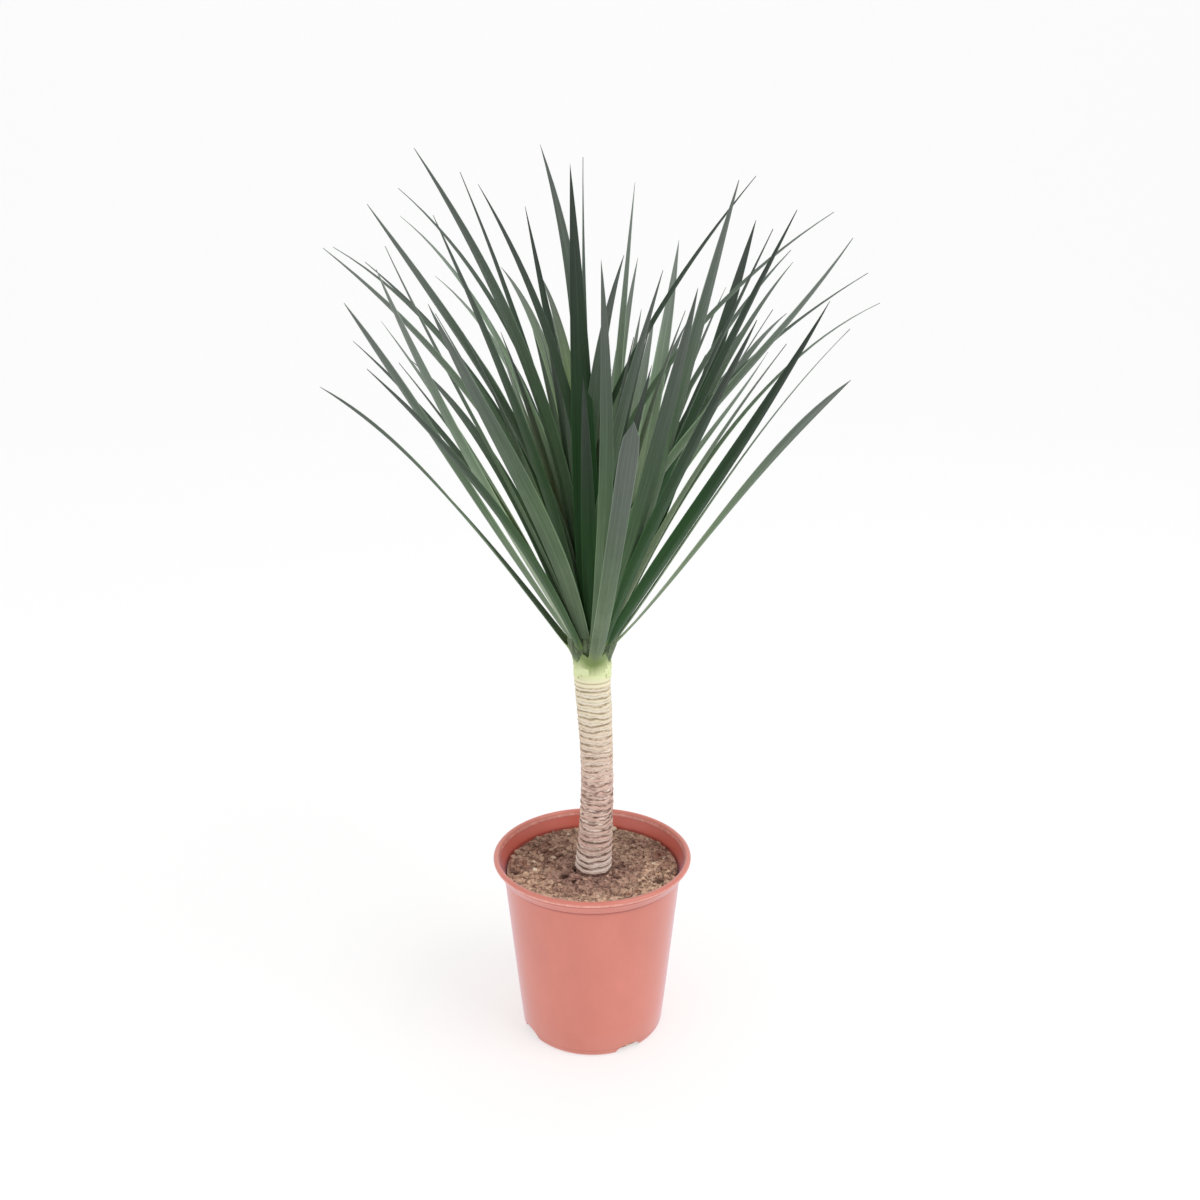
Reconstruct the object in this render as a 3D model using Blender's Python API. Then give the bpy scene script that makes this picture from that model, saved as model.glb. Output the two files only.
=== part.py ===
"""Potted dragon tree: one bare, ringed stem with a crown of sword leaves, in a plastic nursery pot.

Metres, +Z up. The pot's foot stands on z = 0 and the pot's axis is the Z axis. The side that is
seen first faces -Y.
"""

import math
import random

import bmesh
import bpy
from mathutils import Matrix, Vector

# Gap between neighbouring pieces
GAP = 0.0003

# Pot
POT_SIDES = 48
POT_HEIGHT = 0.179
RIM_RADIUS = 0.095
LIP_HEIGHT = 0.012
LIP_ROUND = 0.0030
WALL_TOP_RADIUS = 0.0856
FOOT_RADIUS = 0.0683
WALL = 0.0018
FOOT_ROUND = 0.0035
FOOT_FLAT = 0.0050
FLOOR_HEIGHT = 0.0070
NOTCH_WIDTH = 0.028
NOTCH_HEIGHT = 0.0075
NOTCH_ARCH = ((0.86, 0.62), (0.62, 0.93), (0.30, 1.0))
NOTCH_BELOW = 0.004
FIRST_NOTCH = math.radians(30.0)
NOTCHES = 4
DRAIN_RADIUS = 0.0050
DRAIN_CIRCLE = 0.038
DRAINS = 6
DRAIN_SIDES = 12

# Soil
SOIL_HEIGHT = 0.1570
SOIL_RINGS = 8
SOIL_BUMP = 0.0010
SOIL_MOUND = 0.0035
MOUND_WIDTH = 0.022
# Waves of the soil's lumps: strength, radians per metre along X and along Y, start
SOIL_WAVES = (
    (0.6, 95.0, 110.0, 1.3),
    (0.6, 95.0, -110.0, 0.9),
    (0.6, 210.0, -150.0, 0.0),
    (0.4, 170.0, 260.0, 2.0),
)
HOLE_CLEARANCE = 0.0009
HOLE_DEPTH = 0.070

# Trunk
TRUNK_SIDES = 20
TRUNK_TOP = 0.3520
TRUNK_BURIED_RADIUS = 0.0172
TRUNK_LOW_RADIUS = 0.0174
TRUNK_MIDDLE_RADIUS = 0.0150
TRUNK_TOP_RADIUS = 0.0164
TRUNK_BOW = 0.0047
RING_SCARS = 29
FIRST_SCAR = 0.0065
LAST_SCAR = 0.0035
SCAR_DEPTH = 0.0011
SCAR_WAVE = 0.0010

# Leaf crown
CROWN_SIDES = 16
NECK_RADIUS = 0.0170
NECK_ROUND = 0.0040
CROWN_HEIGHT = 0.3750
BUD_HEIGHT = 0.4350
# How far the growing tip swells beyond the neck, and at what height over the crown's middle
TIP_SWELL = ((0.0005, -0.004), (0.0030, 0.008), (0.0070, 0.022), (0.0080, 0.034), (0.0, 0.048))
LEAF_STEPS = 7
LEAF_WIDTH = 0.0185
RIB_THICKNESS = 0.0017
TIP_THICKNESS = 0.0009
CHANNEL = 0.13
TAPER_POWER = 2.6
LOWEST_ROOT = 0.3740
HIGHEST_ROOT = 0.3920
ROOT_RADIUS = 0.0130
INNER_ROOT_RADIUS = 0.0040
WIDEST_LEAN = math.radians(50.0)

# Where the eye stood that saw the leaf tips, and how it looked
EYE = Vector((0.0, -1.0, 0.722))
EYE_PITCH = 0.2825
EYE_YAW = 0.0075
FOCAL_PIXELS = 1152.0
PICTURE_MIDDLE = 600.0

# Leaf tips as seen: pixel across, pixel down, depth behind the stem, width, arch, twist in degrees
SEEN_LEAVES = (
    (414, 148, -0.12, 0.0185, 0.075, 10),
    (398, 188, 0.10, 0.0160, 0.105, -10),
    (367, 204, -0.06, 0.0180, 0.065, 20),
    (400, 216, 0.16, 0.0150, 0.110, 0),
    (433, 215, -0.16, 0.0180, 0.035, 5),
    (460, 172, 0.06, 0.0170, 0.045, 10),
    (478, 184, -0.18, 0.0170, 0.090, 10),
    (525, 206, 0.10, 0.0175, 0.030, 0),
    (540, 144, -0.05, 0.0190, 0.040, 20),
    (570, 163, -0.14, 0.0200, 0.000, 0),
    (583, 157, 0.04, 0.0190, 0.015, 0),
    (323, 248, -0.17, 0.0195, 0.110, 10),
    (333, 247, 0.04, 0.0155, 0.100, -15),
    (365, 262, 0.10, 0.0170, 0.090, 0),
    (376, 269, -0.16, 0.0180, -0.010, 10),
    (385, 246, -0.03, 0.0165, 0.010, 15),
    (344, 303, -0.08, 0.0185, 0.015, 20),
    (353, 341, 0.12, 0.0150, 0.050, 0),
    (367, 369, -0.24, 0.0175, 0.040, 10),
    (381, 321, 0.20, 0.0155, 0.030, 0),
    (320, 387, 0.12, 0.0175, 0.055, 30),
    (428, 304, -0.24, 0.0190, 0.025, 5),
    (435, 276, 0.20, 0.0155, 0.100, 0),
    (601, 258, -0.24, 0.0175, 0.000, 0),
    (624, 255, -0.16, 0.0150, 0.080, 10),
    (635, 182, 0.08, 0.0165, 0.005, 0),
    (638, 257, 0.20, 0.0160, 0.060, 0),
    (663, 270, -0.20, 0.0165, 0.055, 10),
    (679, 240, 0.16, 0.0195, -0.010, 0),
    (756, 176, 0.04, 0.0160, 0.085, 15),
    (739, 180, -0.12, 0.0175, -0.010, 5),
    (756, 220, 0.16, 0.0165, -0.015, 0),
    (773, 229, -0.02, 0.0165, 0.020, 15),
    (797, 210, -0.08, 0.0180, 0.015, -10),
    (834, 212, 0.10, 0.0150, 0.110, 0),
    (793, 262, 0.21, 0.0160, 0.050, 0),
    (791, 250, 0.03, 0.0150, 0.080, 10),
    (853, 238, -0.14, 0.0175, 0.030, -15),
    (868, 273, 0.08, 0.0160, 0.110, 0),
    (880, 303, 0.09, 0.0160, 0.100, 0),
    (830, 301, -0.19, 0.0195, -0.010, -25),
    (850, 329, 0.02, 0.0155, 0.020, -15),
    (851, 380, -0.02, 0.0175, 0.020, -65),
    (787, 313, 0.24, 0.0165, 0.070, 0),
    (757, 320, -0.25, 0.0180, -0.005, 5),
    (698, 288, -0.26, 0.0180, 0.005, 5),
    (726, 287, 0.20, 0.0155, 0.040, 0),
    (768, 352, 0.26, 0.0150, 0.050, 0),
    (634, 422, -0.33, 0.0190, -0.040, 0),
    (501, 267, 0.22, 0.0180, 0.100, 0),
    (541, 276, 0.28, 0.0180, 0.110, 0),
)

# Leaves behind, which the others hide, and the short young ones in the middle
BACK_LEAVES = 13
BACK_LEAN_FIRST = math.radians(41.0)
BACK_LEAN_LAST = math.radians(60.0)
BACK_HALF_SPREAD = math.radians(40.0)
BACK_LENGTH = 0.400
BACK_ARCH = 0.08
BACK_TWIST = 0.2
YOUNG_LEAVES = 12
YOUNG_FIRST_TURN = math.radians(270.0)
YOUNG_LEAN_FIRST = math.radians(2.0)
YOUNG_LEAN_LAST = math.radians(26.0)
YOUNG_LENGTH = 0.280
YOUNG_GROWTH = 0.050
YOUNG_WIDTH = 0.0157
YOUNG_ARCH = 0.03
YOUNG_TWIST = 0.3
LENGTH_SCATTER = 0.020
SEED = 11
GOLDEN_ANGLE = math.radians(137.508)
GOLDEN_SHARE = 0.618034


def clear_scene():
    for thing in list(bpy.data.objects):
        bpy.data.objects.remove(thing, do_unlink=True)


def plain_material(name, colour, roughness):
    material = bpy.data.materials.new(name)
    material.use_nodes = True
    shader = material.node_tree.nodes["Principled BSDF"]
    shader.inputs["Base Color"].default_value = (*colour, 1.0)
    shader.inputs["Roughness"].default_value = roughness
    shader.inputs["Metallic"].default_value = 0.0
    return material


def object_from(name, corners, faces, material, sharp=35.0):
    """A named, smooth-shaded object from corners and faces, its normals outward."""
    mesh = bpy.data.meshes.new(name)
    mesh.from_pydata(corners, [], faces)
    body = bmesh.new()
    body.from_mesh(mesh)
    bmesh.ops.recalc_face_normals(body, faces=body.faces)
    body.to_mesh(mesh)
    body.free()
    mesh.shade_smooth()
    mesh.set_sharp_from_angle(angle=math.radians(sharp))
    mesh.materials.append(material)
    made = bpy.data.objects.new(name, mesh)
    bpy.context.collection.objects.link(made)
    return made


def ring_points(centre, radius, height, sides, phase=0.0):
    turn = 2.0 * math.pi / sides
    return [
        (
            centre[0] + radius * math.cos(phase + turn * i),
            centre[1] + radius * math.sin(phase + turn * i),
            height,
        )
        for i in range(sides)
    ]


def bridge(first, second, sides):
    """Faces between two rings of corners that start at these numbers."""
    return [
        (first + i, first + (i + 1) % sides, second + (i + 1) % sides, second + i)
        for i in range(sides)
    ]


def arc(centre, radius, start, end, steps):
    """Points of (radius, height) along a round corner, with angles in degrees."""
    points = []
    for i in range(steps + 1):
        angle = math.radians(start + (end - start) * i / steps)
        points.append((centre[0] + radius * math.cos(angle), centre[1] + radius * math.sin(angle)))
    return points


def turned(name, profile, sides, material):
    """A closed solid turned round Z, from a profile whose two ends lie on the axis."""
    corners = [(0.0, 0.0, profile[0][1])]
    rings = []
    for radius, height in profile[1:-1]:
        rings.append(len(corners))
        corners += ring_points((0.0, 0.0), radius, height, sides)
    last = len(corners)
    corners.append((0.0, 0.0, profile[-1][1]))
    faces = [(0, rings[0] + (i + 1) % sides, rings[0] + i) for i in range(sides)]
    for low, high in zip(rings, rings[1:]):
        faces += bridge(low, high, sides)
    faces += [(last, rings[-1] + i, rings[-1] + (i + 1) % sides) for i in range(sides)]
    return object_from(name, corners, faces, material)


def cut(body, cutters):
    """Takes the cutters out of the body and removes them."""
    for cutter in cutters:
        cutter.hide_render = True
        cutter.display_type = "WIRE"
        step = body.modifiers.new("cut", "BOOLEAN")
        step.operation = "DIFFERENCE"
        step.object = cutter
        step.solver = "EXACT"
        apply_modifiers(body)
        bpy.data.objects.remove(cutter, do_unlink=True)


def apply_modifiers(body):
    """Replaces the mesh with what its modifiers make of it."""
    view = bpy.context.evaluated_depsgraph_get()
    mesh = bpy.data.meshes.new_from_object(body.evaluated_get(view))
    body.modifiers.clear()
    body.data = mesh


def keep_largest(body):
    """Fills the sealed hollows between fused pieces: only the outer skin stays."""
    shape = bmesh.new()
    shape.from_mesh(body.data)
    shape.verts.ensure_lookup_table()
    unseen = set(shape.verts)
    shells = []
    while unseen:
        shell = []
        waiting = [unseen.pop()]
        while waiting:
            corner = waiting.pop()
            shell.append(corner)
            for edge in corner.link_edges:
                other = edge.other_vert(corner)
                if other in unseen:
                    unseen.remove(other)
                    waiting.append(other)
        shells.append(shell)
    shells.sort(key=len)
    for shell in shells[:-1]:
        bmesh.ops.delete(shape, geom=shell, context="VERTS")
    shape.to_mesh(body.data)
    shape.free()


def wall_radius(height):
    """Outer radius of the pot's tapered wall at this height."""
    share = height / (POT_HEIGHT - LIP_HEIGHT)
    return FOOT_RADIUS + (WALL_TOP_RADIUS - FOOT_RADIUS) * share


def pot_profile():
    """From the underside's middle, round the foot, up the wall, over the lip and down inside."""
    foot_out = FOOT_RADIUS - FOOT_ROUND
    foot_in = foot_out - FOOT_FLAT
    lip_low = POT_HEIGHT - LIP_HEIGHT
    lip_in = RIM_RADIUS - 2.0 * LIP_ROUND - WALL
    points = [(0.0, FLOOR_HEIGHT)]
    points.append((foot_in - FLOOR_HEIGHT * 0.4, FLOOR_HEIGHT))
    points.append((foot_in, 0.0))
    points += arc((foot_out, FOOT_ROUND), FOOT_ROUND, -90.0, 0.0, 3)
    points.append((wall_radius(lip_low), lip_low))
    points.append((RIM_RADIUS - 0.0008, lip_low))
    points.append((RIM_RADIUS, lip_low + LIP_ROUND))
    points += arc((RIM_RADIUS - LIP_ROUND, POT_HEIGHT - LIP_ROUND), LIP_ROUND, 0.0, 90.0, 3)
    points.append((lip_in + WALL, POT_HEIGHT - 0.0006))
    points.append((wall_radius(lip_low) - WALL, lip_low - WALL))
    points.append((foot_out + FOOT_ROUND - WALL, FOOT_ROUND))
    points.append((foot_out, WALL))
    points.append((foot_in + WALL, WALL))
    points.append((foot_in - FLOOR_HEIGHT * 0.4, FLOOR_HEIGHT + WALL))
    points.append((0.0, FLOOR_HEIGHT + WALL))
    return points


def notch_cutter(turn):
    """An arch that points outward through the foot, at this angle round the pot."""
    half = NOTCH_WIDTH / 2.0
    rising = [(1.0, -NOTCH_BELOW), (1.0, 0.001)]
    rising += [(share, NOTCH_HEIGHT * up) for share, up in NOTCH_ARCH]
    outline = [(-half * share, up) for share, up in rising]
    outline += [(half * share, up) for share, up in reversed(rising)]
    inner = FOOT_RADIUS - FOOT_ROUND - FOOT_FLAT * 0.7
    outer = FOOT_RADIUS + 0.010
    corners = [(inner, across, up) for across, up in outline]
    corners += [(outer, across, up) for across, up in outline]
    count = len(outline)
    faces = [tuple(range(count)), tuple(range(2 * count - 1, count - 1, -1))]
    faces += bridge(0, count, count)
    spin = Matrix.Rotation(turn, 4, "Z")
    corners = [tuple(spin @ Vector(corner)) for corner in corners]
    return object_from("notch_cutter", corners, faces, None)


def drain_cutter(turn):
    """A round hole through the floor."""
    middle = (DRAIN_CIRCLE * math.cos(turn), DRAIN_CIRCLE * math.sin(turn))
    sides = DRAIN_SIDES
    corners = ring_points(middle, DRAIN_RADIUS, FLOOR_HEIGHT - 2.0 * WALL, sides, 0.1)
    corners += ring_points(middle, DRAIN_RADIUS, FLOOR_HEIGHT + 3.0 * WALL, sides, 0.1)
    faces = [tuple(range(sides)), tuple(range(2 * sides - 1, sides - 1, -1))]
    faces += bridge(0, sides, sides)
    return object_from("drain_cutter", corners, faces, None)


def make_pot():
    material = plain_material("pot_plastic", (0.72, 0.24, 0.17), 0.45)
    pot = turned("pot", pot_profile(), POT_SIDES, material)
    notch_turns = [FIRST_NOTCH + 2.0 * math.pi * i / NOTCHES for i in range(NOTCHES)]
    cut(pot, [notch_cutter(turn) for turn in notch_turns])
    drain_turns = [2.0 * math.pi * (i + 0.3) / DRAINS for i in range(DRAINS)]
    cut(pot, [drain_cutter(turn) for turn in drain_turns])
    return pot


def soil_surface(x, y):
    """Height of the lumpy soil, a little higher round the stem."""
    away = math.hypot(x, y)
    lumps = sum(high * math.sin(a * x + b * y + start) for high, a, b, start in SOIL_WAVES)
    mound = SOIL_MOUND * math.exp(-((away - TRUNK_LOW_RADIUS) / MOUND_WIDTH) ** 2)
    return SOIL_HEIGHT + SOIL_BUMP * lumps + mound


def make_soil():
    material = plain_material("potting_soil", (0.16, 0.09, 0.06), 0.95)
    sides = POT_SIDES
    hole_radius = TRUNK_BURIED_RADIUS + HOLE_CLEARANCE
    hole_floor = SOIL_HEIGHT - HOLE_DEPTH
    foot_out = FOOT_RADIUS - FOOT_ROUND
    foot_in = foot_out - FOOT_FLAT
    rim = wall_radius(SOIL_HEIGHT) - WALL - GAP
    low = WALL + GAP
    corners = [(0.0, 0.0, FLOOR_HEIGHT + WALL + GAP)]
    rings = []
    outline = [
        (foot_in - FLOOR_HEIGHT * 0.4 + GAP * 0.6, FLOOR_HEIGHT + WALL + GAP),
        (foot_in + WALL + GAP, low),
        (foot_out - GAP, low),
        (foot_out + FOOT_ROUND - WALL - GAP, FOOT_ROUND + GAP),
        (rim, SOIL_HEIGHT),
    ]
    for radius, height in outline:
        rings.append(len(corners))
        corners += ring_points((0.0, 0.0), radius, height, sides)
    for step in range(1, SOIL_RINGS + 1):
        share = step / SOIL_RINGS
        radius = rim + (hole_radius - rim) * share
        rings.append(len(corners))
        for x, y, _ in ring_points((0.0, 0.0), radius, 0.0, sides):
            corners.append((x, y, soil_surface(x, y)))
    rings.append(len(corners))
    corners += ring_points((0.0, 0.0), hole_radius, hole_floor, sides)
    last = len(corners)
    corners.append((0.0, 0.0, hole_floor))
    faces = [(0, rings[0] + (i + 1) % sides, rings[0] + i) for i in range(sides)]
    for first, second in zip(rings, rings[1:]):
        faces += bridge(first, second, sides)
    faces += [(last, rings[-1] + i, rings[-1] + (i + 1) % sides) for i in range(sides)]
    return object_from("soil", corners, faces, material, 180.0)


def trunk_lean(height):
    """How far the stem's middle line bows to +X at this height."""
    start = SOIL_HEIGHT - 0.007
    end = TRUNK_TOP + 0.008
    share = min(max((height - start) / (end - start), 0.0), 1.0)
    return TRUNK_BOW * math.sin(math.pi * share)


def trunk_radius(height):
    """Radius of the stem without its scars: a little waist in the middle."""
    share = (height - SOIL_HEIGHT) / (TRUNK_TOP - SOIL_HEIGHT)
    ends = TRUNK_LOW_RADIUS + (TRUNK_TOP_RADIUS - TRUNK_LOW_RADIUS) * share
    waist = (TRUNK_LOW_RADIUS + TRUNK_TOP_RADIUS) / 2.0 - TRUNK_MIDDLE_RADIUS
    return ends - waist * math.sin(math.pi * share) ** 1.2


def scar_wave(turn, height):
    """How far a ring scar rises and dips as it goes round the stem."""
    wave = math.sin(turn + 23.0 * height) + 0.5 * math.sin(3.0 * turn - 61.0 * height)
    return SCAR_WAVE * wave


def make_trunk():
    material = plain_material("stem_bark", (0.50, 0.34, 0.26), 0.85)
    sides = TRUNK_SIDES
    bottom = SOIL_HEIGHT - HOLE_DEPTH + GAP
    first_scar = SOIL_HEIGHT + FIRST_SCAR
    spacing = (TRUNK_TOP - LAST_SCAR - first_scar) / (RING_SCARS - 1)
    rows = [(bottom, TRUNK_BURIED_RADIUS, 0.0), (SOIL_HEIGHT - 0.004, TRUNK_BURIED_RADIUS, 0.0)]
    for scar in range(RING_SCARS):
        height = first_scar + spacing * scar
        rows.append((height - 0.25 * spacing, trunk_radius(height), 1.0))
        rows.append((height, trunk_radius(height) - SCAR_DEPTH, 1.0))
        rows.append((height + 0.22 * spacing, trunk_radius(height) - 0.1 * SCAR_DEPTH, 1.0))
    rows.append((TRUNK_TOP, TRUNK_TOP_RADIUS - 0.0006, 0.0))
    corners = [(trunk_lean(bottom), 0.0, bottom)]
    rings = []
    for height, radius, wavy in rows:
        rings.append(len(corners))
        near_end = min(1.0, (TRUNK_TOP - height) / 0.010, (height - SOIL_HEIGHT) / 0.004)
        for x, y, _ in ring_points((0.0, 0.0), radius, 0.0, sides):
            rise = wavy * max(near_end, 0.0) * scar_wave(math.atan2(y, x), height)
            corners.append((x + trunk_lean(height + rise), y, height + rise))
    last = len(corners)
    corners.append((trunk_lean(TRUNK_TOP), 0.0, TRUNK_TOP))
    faces = [(0, rings[0] + (i + 1) % sides, rings[0] + i) for i in range(sides)]
    for low, high in zip(rings, rings[1:]):
        faces += bridge(low, high, sides)
    faces += [(last, rings[-1] + i, rings[-1] + (i + 1) % sides) for i in range(sides)]
    return object_from("trunk", corners, faces, material, 180.0)


def crown_middle():
    return Vector((trunk_lean(TRUNK_TOP), 0.0, CROWN_HEIGHT))


def seen_tip(across, down, depth):
    """The place of a leaf tip: where its line of sight is this far behind the stem."""
    ahead = Vector((math.sin(EYE_YAW), math.cos(EYE_YAW), 0.0)) * math.cos(EYE_PITCH)
    ahead.z = -math.sin(EYE_PITCH)
    right = Vector((math.cos(EYE_YAW), -math.sin(EYE_YAW), 0.0))
    above = right.cross(ahead)
    sight = ahead * FOCAL_PIXELS + right * (across - PICTURE_MIDDLE) + above * (PICTURE_MIDDLE - down)
    return EYE + sight * ((depth - EYE.y) / sight.y)


def leaned_tip(turn, lean, length):
    flat = length * math.sin(lean)
    offset = Vector((flat * math.cos(turn), flat * math.sin(turn), length * math.cos(lean)))
    return crown_middle() + offset


def leaf_plan():
    """Tip, width, arch and twist of every leaf."""
    draw = random.Random(SEED)
    leaves = []
    for across, down, depth, width, arch, twist in SEEN_LEAVES:
        leaves.append((seen_tip(across, down, depth), width, arch, math.radians(twist)))
    for i in range(BACK_LEAVES):
        share = i / (BACK_LEAVES - 1)
        turn = math.pi / 2.0 + BACK_HALF_SPREAD * (2.0 * ((i * GOLDEN_SHARE) % 1.0) - 1.0)
        lean = BACK_LEAN_FIRST + (BACK_LEAN_LAST - BACK_LEAN_FIRST) * share
        length = BACK_LENGTH + draw.uniform(-1.0, 1.0) * LENGTH_SCATTER
        twist = draw.uniform(-1.0, 1.0) * BACK_TWIST
        leaves.append((leaned_tip(turn, lean, length), LEAF_WIDTH, BACK_ARCH, twist))
    for i in range(YOUNG_LEAVES):
        share = i / (YOUNG_LEAVES - 1)
        lean = YOUNG_LEAN_FIRST + (YOUNG_LEAN_LAST - YOUNG_LEAN_FIRST) * share
        length = YOUNG_LENGTH + YOUNG_GROWTH * share + draw.uniform(-1.0, 1.0) * LENGTH_SCATTER
        tip = leaned_tip(YOUNG_FIRST_TURN + GOLDEN_ANGLE * i, lean, length)
        leaves.append((tip, YOUNG_WIDTH, YOUNG_ARCH, draw.uniform(-1.0, 1.0) * YOUNG_TWIST))
    return leaves


def leaf_curve(tip, arch):
    """Four handles of a leaf's middle line, in the upright plane through the stem and the tip."""
    middle = crown_middle()
    outward = Vector((tip.x - middle.x, tip.y - middle.y, 0.0))
    lean = math.atan2(outward.length, tip.z - middle.z)
    outward.normalize()
    spread = min(lean / WIDEST_LEAN, 1.0)
    root_radius = INNER_ROOT_RADIUS + (ROOT_RADIUS - INNER_ROOT_RADIUS) * spread
    root_height = HIGHEST_ROOT + (LOWEST_ROOT - HIGHEST_ROOT) * spread
    root = Vector((middle.x, middle.y, root_height)) + outward * root_radius
    length = (tip - root).length
    lean = math.atan2((tip - root).dot(outward), tip.z - root.z)
    bend = math.asin(4.0 * arch)
    rising = outward * math.sin(lean - bend) + Vector((0.0, 0.0, math.cos(lean - bend)))
    falling = outward * math.sin(lean + bend) + Vector((0.0, 0.0, math.cos(lean + bend)))
    handles = (root, root + rising * (length / 3.0), tip - falling * (length / 3.0), tip)
    return handles, outward


def curve_point(handles, t):
    a, b, c, d = handles
    s = 1.0 - t
    return a * s**3 + b * (3.0 * s * s * t) + c * (3.0 * s * t * t) + d * t**3


def curve_heading(handles, t):
    a, b, c, d = handles
    s = 1.0 - t
    return ((b - a) * (s * s) + (c - b) * (2.0 * s * t) + (d - c) * (t * t)).normalized()


def leaf_mesh(tip, width, arch, twist):
    """A sword leaf with a channelled section: two edges, a rib below and a valley above."""
    handles, outward = leaf_curve(tip, arch)
    sideways = Vector((-outward.y, outward.x, 0.0))
    corners = []
    for step in range(LEAF_STEPS):
        t = step / LEAF_STEPS
        place = curve_point(handles, t)
        heading = curve_heading(handles, t)
        across = Matrix.Rotation(twist * t, 3, heading) @ sideways
        inward = across.cross(heading)
        half = 0.5 * width * (1.0 - t**TAPER_POWER)
        thick = RIB_THICKNESS + (TIP_THICKNESS - RIB_THICKNESS) * t
        lift = inward * (2.0 * half * CHANNEL)
        corners.append(place - across * half + lift)
        corners.append(place + inward * (thick / 2.0))
        corners.append(place + across * half + lift)
        corners.append(place - inward * (thick / 2.0))
    end = len(corners)
    corners.append(curve_point(handles, 1.0))
    faces = [(0, 3, 2), (0, 2, 1)]
    for step in range(LEAF_STEPS - 1):
        low = 4 * step
        high = low + 4
        left, top, right, rib = range(low, low + 4)
        left_up, top_up, right_up, rib_up = range(high, high + 4)
        faces += [(left, top, top_up), (left, top_up, left_up)]
        faces += [(left, rib_up, rib), (left, left_up, rib_up)]
        faces += [(right, top_up, top), (right, right_up, top_up)]
        faces += [(right, rib, rib_up), (right, rib_up, right_up)]
    last = 4 * (LEAF_STEPS - 1)
    faces += [(last, last + 1, end), (last + 1, last + 2, end)]
    faces += [(last + 2, last + 3, end), (last + 3, last, end)]
    return [tuple(corner) for corner in corners], faces


def make_crown():
    """The growing tip with every leaf fused to it."""
    material = plain_material("leaf_green", (0.07, 0.13, 0.07), 0.5)
    base = TRUNK_TOP + GAP
    profile = [(0.0, base), (TRUNK_TOP_RADIUS, base), (NECK_RADIUS, base + NECK_ROUND)]
    profile += [(NECK_RADIUS + swell, CROWN_HEIGHT + up) for swell, up in TIP_SWELL]
    profile.append((0.0, BUD_HEIGHT))
    crown = turned("leaf_crown", profile, CROWN_SIDES, material)
    shift = Matrix.Translation((crown_middle().x, 0.0, 0.0))
    crown.data.transform(shift)
    blades = bpy.data.collections.new("blades")
    bpy.context.scene.collection.children.link(blades)
    for number, (tip, width, arch, twist) in enumerate(leaf_plan()):
        corners, faces = leaf_mesh(tip, width, arch, twist)
        blade = object_from(f"blade_{number}", corners, faces, material)
        bpy.context.collection.objects.unlink(blade)
        blades.objects.link(blade)
    join = crown.modifiers.new("join", "BOOLEAN")
    join.operation = "UNION"
    join.operand_type = "COLLECTION"
    join.collection = blades
    join.solver = "MANIFOLD"
    apply_modifiers(crown)
    for blade in list(blades.objects):
        bpy.data.objects.remove(blade, do_unlink=True)
    bpy.data.collections.remove(blades)
    keep_largest(crown)
    return crown


def main():
    clear_scene()
    make_pot()
    make_soil()
    make_trunk()
    make_crown()


main()
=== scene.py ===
"""Dresses the potted dragon tree: turned pot, crumbly soil, ringed stem, sword leaves and the stage."""

import math
import random
from collections import namedtuple

import bmesh
import bpy
from bpy.props import FloatProperty, FloatVectorProperty, IntProperty, PointerProperty
from bpy.types import Operator, Panel, PropertyGroup
from mathutils import Matrix, Vector


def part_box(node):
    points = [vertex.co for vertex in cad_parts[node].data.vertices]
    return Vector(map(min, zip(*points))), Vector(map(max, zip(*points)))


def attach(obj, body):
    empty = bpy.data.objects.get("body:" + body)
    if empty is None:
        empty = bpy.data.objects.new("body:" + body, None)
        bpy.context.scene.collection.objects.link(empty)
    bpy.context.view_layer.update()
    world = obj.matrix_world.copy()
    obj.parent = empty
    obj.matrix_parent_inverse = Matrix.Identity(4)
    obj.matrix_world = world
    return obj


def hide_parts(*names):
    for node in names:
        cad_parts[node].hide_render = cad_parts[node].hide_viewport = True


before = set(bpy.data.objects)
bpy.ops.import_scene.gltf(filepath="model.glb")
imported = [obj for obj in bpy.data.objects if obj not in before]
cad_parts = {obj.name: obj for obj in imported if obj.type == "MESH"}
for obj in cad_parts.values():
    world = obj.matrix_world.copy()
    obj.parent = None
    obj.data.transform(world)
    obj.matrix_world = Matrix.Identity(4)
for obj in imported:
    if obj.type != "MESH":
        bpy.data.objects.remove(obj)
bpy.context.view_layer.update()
POT_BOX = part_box("pot")
STEM_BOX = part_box("trunk")

bl_info = {
    "name": "Potted Dragon Tree",
    "version": (1, 0, 0),
    "blender": (4, 5, 0),
    "location": "View3D > Sidebar > Dragon Tree",
    "description": "Builds a dragon tree with its pot, soil, ringed stem and sword leaves",
    "category": "Add Mesh",
}

# Where the eye stood that saw the leaf tips, in metres and radians
EYE = Vector((0.0, -1.0, 0.722))
EYE_PITCH = 0.2825
EYE_YAW = 0.0075
FOCAL_PIXELS = 1152.0
PICTURE_SIZE = 1200.0

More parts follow.
